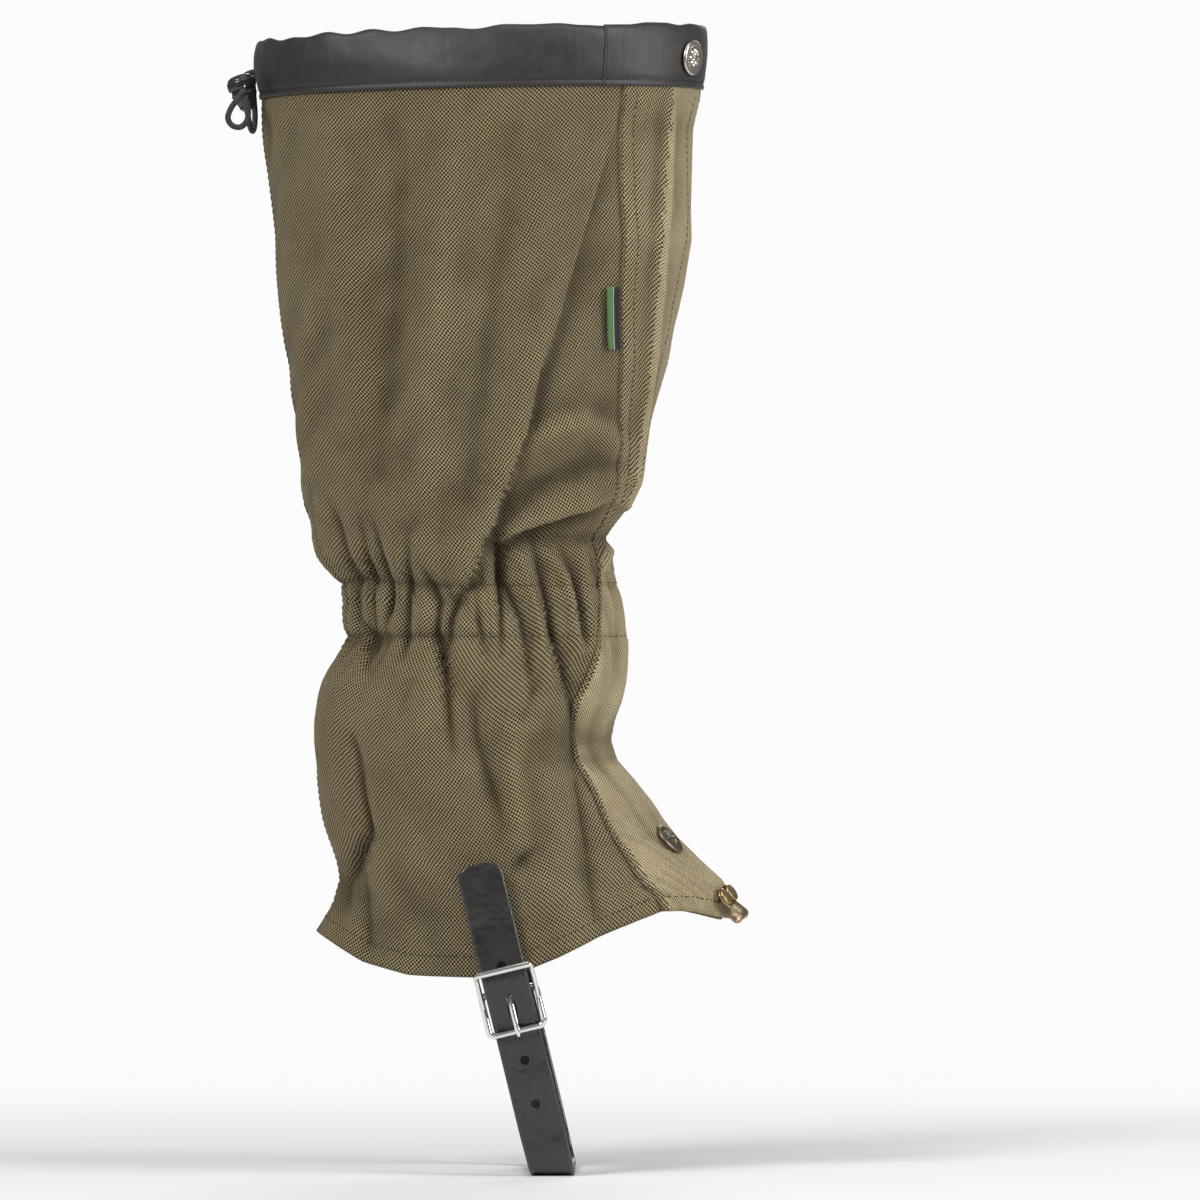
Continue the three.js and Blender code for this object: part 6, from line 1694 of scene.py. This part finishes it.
def cutter(c, axis, wdir, rx, rz, length, seg=28):
    z = unit(axis); x = unit(wdir - z * np.dot(wdir, z)); y = np.cross(z, x)
    V, F = [], []
    for s in (-length / 2, length / 2):
        for i in range(seg):
            a = i / seg * 2 * math.pi
            V.append(c + x * rx * math.cos(a) + y * rz * math.sin(a) + z * s)
    for i in range(seg):
        F.append([i, (i + 1) % seg, seg + (i + 1) % seg, seg + i])
    F.append(list(range(seg))[::-1]); F.append(list(range(seg, 2 * seg)))
    return make("cut", np.array(V), F)


cuts = []
for h, ly in ((30.0, 2.2), (49.6, 2.2), (92.4, 2.2), (73.2, 6.6)):
    yc = np.interp(h, [25, 44, 56, 62.9, 66.6, 71.4, 76.6, 81, 85, 95], [-43.6, -45.6, -46.9, -47.4, -48.6, -51.2, -54.0, -55.6, -56.1, -56.1])
    k = cutter(strap_point(yc, h), arr(0, 1, 0), strap_w(h), 2.1, ly, 12)
    fix_normals(k)
    cuts.append(k)
cm = merge("strap_cutters", cuts)
bo = strap.modifiers.new("holes", "BOOLEAN")
bo.operation = "DIFFERENCE"
bo.object = cm
bo.solver = "EXACT"
apply_all(strap)
bpy.data.objects.remove(cm)
sharpen(strap, 45)
dress(strap, "leather")
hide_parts("instep_strap", "strap_free_end")

# folded tab round the pivot bar
tp = [(-52.1, 116), (-52.1, 100), (-52.3, 90), (-52.5, 85)] + corner(-50.3, 81, 2.5, 160, 380, 8) + [(-47.0, 85), (-45.4, 88.6), (-45.0, 93), (-45.0, 104), (-45.0, 116)]
tpts = spline([(y, h, 0) for y, h in tp], 0.8)[:, :2]
C = np.array([strap_point(y, h) for y, h in tpts]); Wd = np.array([strap_w(h) for y, h in tpts])
secT = [(-9.8, -0.4), (-9.5, -0.75), (9.5, -0.75), (9.8, -0.4), (9.8, 0.4), (9.5, 0.75), (-9.5, 0.75), (-9.8, 0.4)]
tab = sweep("buckle_tab_leather", C, secT, wdirs=Wd)
kt = cutter(strap_point(-50.3, 81), arr(0, 1, 0), strap_w(80), 3.2, 4.6, 12); fix_normals(kt)
bo = tab.modifiers.new("slot", "BOOLEAN"); bo.operation = "DIFFERENCE"; bo.object = kt; bo.solver = "EXACT"
apply_all(tab); bpy.data.objects.remove(kt); sharpen(tab, 45)
dress(tab, "leather")
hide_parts("buckle_tab"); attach(tab, "stirrup")

# ------------------------------------------------------------------ buckle
B, H0, H1, BY, BR = 12.2, 62.9, 81.0, -50.3, 1.4
rr = 2.6
loop = []
for sx, sy, a0 in ((1, 1, 0), (-1, 1, 90), (-1, -1, 180), (1, -1, 270)):
    for i in range(9):
        a = math.radians(a0 + i * 90 / 8)
        loop.append(at(sx * (B - rr) + rr * math.cos(a), BY, (H1 - rr if sy > 0 else H0 + rr) + rr * math.sin(a)))
loop = np.array(loop)
dense = []
for a, b in zip(loop, np.roll(loop, -1, 0)):
    n = max(1, int(np.linalg.norm(b - a) / 1.0))
    dense += [a + (b - a) * k / n for k in range(n)]
fr = sweep("bf", np.array(dense), circle(BR, 20, BR * 0.92), up=(0, 1, 0), closed=True)
parts = [fr]
for s in (1, -1):
    lp = spline([at(s * B, BY - 0.4, H1 - 5.5), at(s * B, BY - 1.4, H1 - 1.5), at(s * B, BY - 3.2, H1 + 2.2), at(s * B, -56.8, 88.4), at(s * (B - 0.1), -58.6, 90.0), at(s * (B - 1.4), -59.1, 90.4)], 0.6)
    parts.append(sweep("lk", lp, circle(1.15, 14), up=arr(*W_BAR)))
kp = np.array([at(w, -59.1 - 0.25 * (1 - (w / B) ** 2), 90.4) for w in np.linspace(-B + 0.6, B - 0.6, 40)])
parts.append(sweep("kb", kp, circle(1.45, 18, 1.25), up=(0, 1, 0)))
# roller sleeve on the far bar
parts.append(sweep("rl", np.array([at(w, BY, H0) for w in np.linspace(-7.4, 7.4, 12)]), circle(1.42, 24), up=(0, 1, 0)))
buckle = merge("buckle_frame_chrome", parts)
sharpen(buckle, 50)
dress(buckle, "chrome")
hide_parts("buckle_frame"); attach(buckle, "stirrup")

# prong: eye round the pivot bar, flat-topped shank, blunt tip lying on the far bar
ey = np.array([strap_point(BY, H1) + arr(0, -1, 0) * (2.25 * math.cos(a)) + H_BAR * (2.25 * math.sin(a)) for a in np.linspace(0, 2 * math.pi, 41)[:-1]])
eye = sweep("pe", ey, [(-1.5, -0.5), (-1.3, -0.65), (1.3, -0.65), (1.5, -0.5), (1.5, 0.5), (1.3, 0.65), (-1.3, 0.65), (-1.5, 0.5)], closed=True, wdirs=np.repeat(W_BAR[None], 40, 0))
pp = spline([at(0, BY - 1.9, H1 - 1.4), at(0, BY - 2.5, H1 - 5.0), at(0, BY - 2.75, H1 - 10), at(0, BY - 2.95, H0 + 2.5), at(0, BY - 2.9, H0 - 0.5), at(0, BY - 2.45, H0 - 2.5)], 0.5)
sc = np.interp(np.linspace(0, 1, len(pp)), [0, 0.1, 0.6, 0.9, 0.97, 1], [1.0, 1.15, 1.0, 0.82, 0.62, 0.3])
shank = sweep("ps", pp, circle(1.25, 16, 1.0), wdirs=np.repeat(W_BAR[None], len(pp), 0), scale=np.stack([sc, sc], -1))
prong = merge("buckle_prong_chrome", [eye, shank])
sharpen(prong, 50)
dress(prong, "chrome")
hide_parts("buckle_prong"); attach(prong, "prong")

# rivets of tab and strap
RA = strap_point(0, 108)
for name, node, prof, y, s in (
        ("tab_rivet_burr", "tab_rivet_head", [(2.05, 0), (4.4, 0), (4.65, 0.25), (4.6, 0.6), (4.1, 1.0), (3.2, 1.2), (2.4, 1.2), (2.05, 1.0), (2.05, 0)], -53.2, -1),
        ("tab_rivet_stem", "tab_rivet", [(0, 0), (3.6, 0), (4.1, 0.15), (4.2, 0.4), (3.9, 0.55), (2.0, 0.6), (1.95, 9.4), (1.7, 9.75), (1.0, 9.8), (0.5, 9.5), (0, 9.4)], -43.4, -1),
        ("strap_rivet_cap", "strap_rivet", [(0, 1.6), (1.5, 1.55), (3.0, 1.25), (4.0, 0.8), (4.6, 0.35), (4.55, 0.1), (4.2, 0), (0, 0)][::-1], 55.0, 1),
        ("strap_rivet_stem", "strap_rivet_shank", [(0, 0), (4.0, 0), (4.35, 0.2), (4.3, 0.6), (2.0, 0.7), (1.9, 7.4), (0, 7.5)], 47.0, 1)):
    o = lathe(name, prof, arr(RA[0], y, RA[2]), arr(0, s, 0), 48)
    sharpen(o, 50)
    dress(o, "steel")
    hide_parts(node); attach(o, "root")

# ------------------------------------------------------------------ cord lock
LX = arr(math.cos(LOCK["tilt"]), 0, -math.sin(LOCK["tilt"]))
top = LOCK["body"]


def ribs(a, r, h):
    return (r + 0.10 * max(0, math.cos(20 * a)) if 1.0 < h < 7.0 and r > 4.0 else r), h


body = lathe("cord_lock_barrel", [(0, -0.4), (1.8, -0.4), (2.7, -0.3), (3.3, 0.3), (3.7, 1.4), (4.3, 3.2), (4.9, 5.0), (5.5, 6.6), (5.75, 7.2), (5.65, 7.4), (5.3, 7.45), (5.25, top - 0.1), (5.1, top), (4.2, top), (3.95, top - 0.25), (3.9, 0.9), (3.5, 0.8), (0, 0.8)],
             LOCK_BASE, LOCK_AXIS, 60, ribs)
low = top + 0.25 + 2.0
head = lathe("cord_lock_plunger", [(0, 3.3), (3.3, 3.3), (3.5, 3.5), (3.5, low + 0.3), (5.5, low + 0.3), (5.55, 9.6), (5.7, 9.45), (6.05, 9.45), (6.2, 9.65), (6.25, low + 0.1), (6.25, low + 0.7), (6.1, low + 1.25), (5.8, low + 1.5), (5.65, low + 1.6), (5.6, low + 2.0), (5.1, low + 2.7), (4.3, low + 3.25), (3.2, low + 3.6), (1.6, low + 3.85), (0, low + 3.9)],
             LOCK_BASE, LOCK_AXIS, 60)


def slot_cut(ob, w, d, mid):
    V = []
    for sx in (-1, 1):
        for sy in (-1, 1):
            for sz in (-1, 1):
                V.append(LOCK_BASE + LX * (sx * w / 2) + LOCK_AXIS * (mid + sy * d / 2) + arr(0, 1, 0) * (sz * 10))
    F = [[0, 1, 3, 2], [4, 6, 7, 5], [0, 4, 5, 1], [2, 3, 7, 6], [0, 2, 6, 4], [1, 5, 7, 3]]
    c = make("slot", np.array(V), F, smooth_faces=False)
    fix_normals(c)
    b = ob.modifiers.new("slot", "BOOLEAN"); b.operation = "DIFFERENCE"; b.object = c; b.solver = "EXACT"
    apply_all(ob)
    bpy.data.objects.remove(c)


mid = (4.9 + 7.6) / 2
slot_cut(body, 2.9, 2.7 + 2.9, mid)
slot_cut(head, 3.1, 2.7 + 3.0 + 2.0, mid + 1.0)
for o, node, bd in ((body, "cord_lock_body", "cord_lock"), (head, "cord_lock_button", "cord_lock_button")):
    sharpen(o, 40)
    dress(o, "plastic")
    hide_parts(node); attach(o, bd)

# the lock's spring, a coil under the plunger
turns = np.linspace(0, 2.4 * 2 * math.pi, 90)
coil = LOCK_BASE + LX * (2.5 * np.cos(turns))[:, None] + LOCK_AXIS * (1.17 + 1.72 * turns / turns[-1])[:, None] + np.cross(LX, LOCK_AXIS) * (2.5 * np.sin(turns))[:, None]
spring = sweep("cord_lock_coil", coil, circle(0.25, 10))
dress(spring, "steel")
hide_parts("cord_lock_spring"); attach(spring, "cord_lock")
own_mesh(spring)

dress(drawcord, "cord")
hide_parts("drawcord_bight"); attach(drawcord, "root")

# ------------------------------------------------------------------ baked transforms of the flap pieces and the strap
for ob in (front_up, upper_stitches, edge_up, hook_up, band_flap, flap_band_stitches):
    flap_blend(ob, "up")
for ob in (front_lo, lower_stitches, edge_lo, hook_lo):
    flap_blend(ob, "lo")
d = arr(-math.sin(TILT), 0, math.cos(TILT))
# the bend is measured along a line leaning outward, so the inner leg of the stirrup never counts as past its end
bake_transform(strap)

# ------------------------------------------------------------------ carried-over CAD nodes
CARRIED = {
    "drawcord_outer_run": "cord", "drawcord_inner_run": "cord", "snap_top_socket": "snap", "snap_top_stud": "snap", "snap_low_socket": "snap", "snap_low_stud": "snap",
    "lace_hook_washer_a": "brass", "lace_hook_washer_b": "brass"}
cord_plain = Nodes("cord_inside")
_n = cord_plain.noise(cord_plain.coord(), 700, 3)
cord_plain.link(cord_plain.ramp(_n, [(0.3, (0.020, 0.019, 0.018)), (0.7, (0.045, 0.042, 0.040))]), cord_plain.b.inputs["Base Color"])
_v = cord_plain.new("ShaderNodeTexVoronoi"); _v.inputs["Scale"].default_value = 1400
cord_plain.link(cord_plain.coord(), _v.inputs["Vector"])
cord_plain.bump(_v.outputs["Distance"], 0.6, 0.0002)
cord_plain.set(Roughness=0.75)
MAT["cord_inside"] = cord_plain.mat
for node, m in CARRIED.items():
    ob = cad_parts[node]
    ob.data.materials.clear()
    ob.data.materials.append(MAT["cord_inside" if m == "cord" else m])

# ------------------------------------------------------------------ sheets
for ob, name, held, rests in ((outer_panel, "outer_side_cloth", "gathered", ["top_band_cloth"]), (inner_panel, "inner_side_cloth", "gathered", ["top_band_cloth"]),
                              (front_up, "front_cloth_upper", "hung", ["flap_band_cloth"]), (front_lo, "front_cloth_lower", "gathered", ["front_cloth_upper"])):
    w, l, a = SHEETS[name]

# ------------------------------------------------------------------ floor, light
floor_me = bpy.data.meshes.new("floor")
nseg = 64
floor_me.from_pydata([(0.95 * math.cos(2 * math.pi * i / nseg), 0.95 * math.sin(2 * math.pi * i / nseg), -0.0027) for i in range(nseg)], [], [list(range(nseg))])
floor = bpy.data.objects.new("floor", floor_me)
scene.collection.objects.link(floor)
fm = Nodes("floor_pale")
fm.set(Base_Color=(0.86, 0.86, 0.85, 1), Roughness=0.75)
_g = fm.coord()
_len = fm.new("ShaderNodeVectorMath", operation="LENGTH")
fm.link(_g, _len.inputs[0])
_fade = fm.new("ShaderNodeMapRange", interpolation_type="SMOOTHSTEP")
fm.link(_len.outputs["Value"], _fade.inputs["Value"])
_fade.inputs["From Min"].default_value, _fade.inputs["From Max"].default_value = 0.16, 0.80
_em = fm.new("ShaderNodeEmission")
_em.inputs["Color"].default_value = (1, 1, 1, 1)
_em.inputs["Strength"].default_value = 0.96
_mx = fm.new("ShaderNodeMixShader")
fm.link(_fade.outputs[0], _mx.inputs[0])
fm.link(fm.b.outputs[0], _mx.inputs[1])
fm.link(_em.outputs[0], _mx.inputs[2])
fm.link(_mx.outputs[0], fm.nt.nodes["Material Output"].inputs[0])
floor_me.materials.append(fm.mat)

world = bpy.data.worlds.new("studio")
scene.world = world
world.use_nodes = True
bg = world.node_tree.nodes["Background"]
bg.inputs[0].default_value = (1, 1, 1, 1)
bg.inputs[1].default_value = 0.20
lp = world.node_tree.nodes.new("ShaderNodeLightPath")
bg2 = world.node_tree.nodes.new("ShaderNodeBackground")
bg2.inputs[0].default_value = (1, 1, 1, 1)
bg2.inputs[1].default_value = 0.97
mx = world.node_tree.nodes.new("ShaderNodeMixShader")
wl = world.node_tree.links
wl.new(lp.outputs["Is Camera Ray"], mx.inputs[0])
wl.new(bg.outputs[0], mx.inputs[1])
wl.new(bg2.outputs[0], mx.inputs[2])
wl.new(mx.outputs[0], world.node_tree.nodes["World Output"].inputs[0])


def area(name, loc, target, size, power, col=(1, 1, 1)):
    l = bpy.data.lights.new(name, "AREA")
    l.shape = "RECTANGLE"
    l.size, l.size_y = size
    l.energy = power
    l.color = col
    o = bpy.data.objects.new(name, l)
    o.location = loc
    o.rotation_euler = (Vector(target) - Vector(loc)).to_track_quat("-Z", "Y").to_euler()
    scene.collection.objects.link(o)
    return o


area("key", (-1.25, -1.55, 1.55), (-0.02, 0, 0.27), (0.7, 0.7), 33, (1, 0.99, 0.97))
area("right", (1.7, -0.85, 0.95), (-0.02, 0, 0.27), (0.8, 1.1), 26)
area("top", (0.1, -0.5, 1.95), (-0.02, 0, 0.3), (1.0, 0.8), 8)
area("rim", (0.3, 1.7, 1.2), (-0.02, 0, 0.27), (0.9, 0.9), 9)
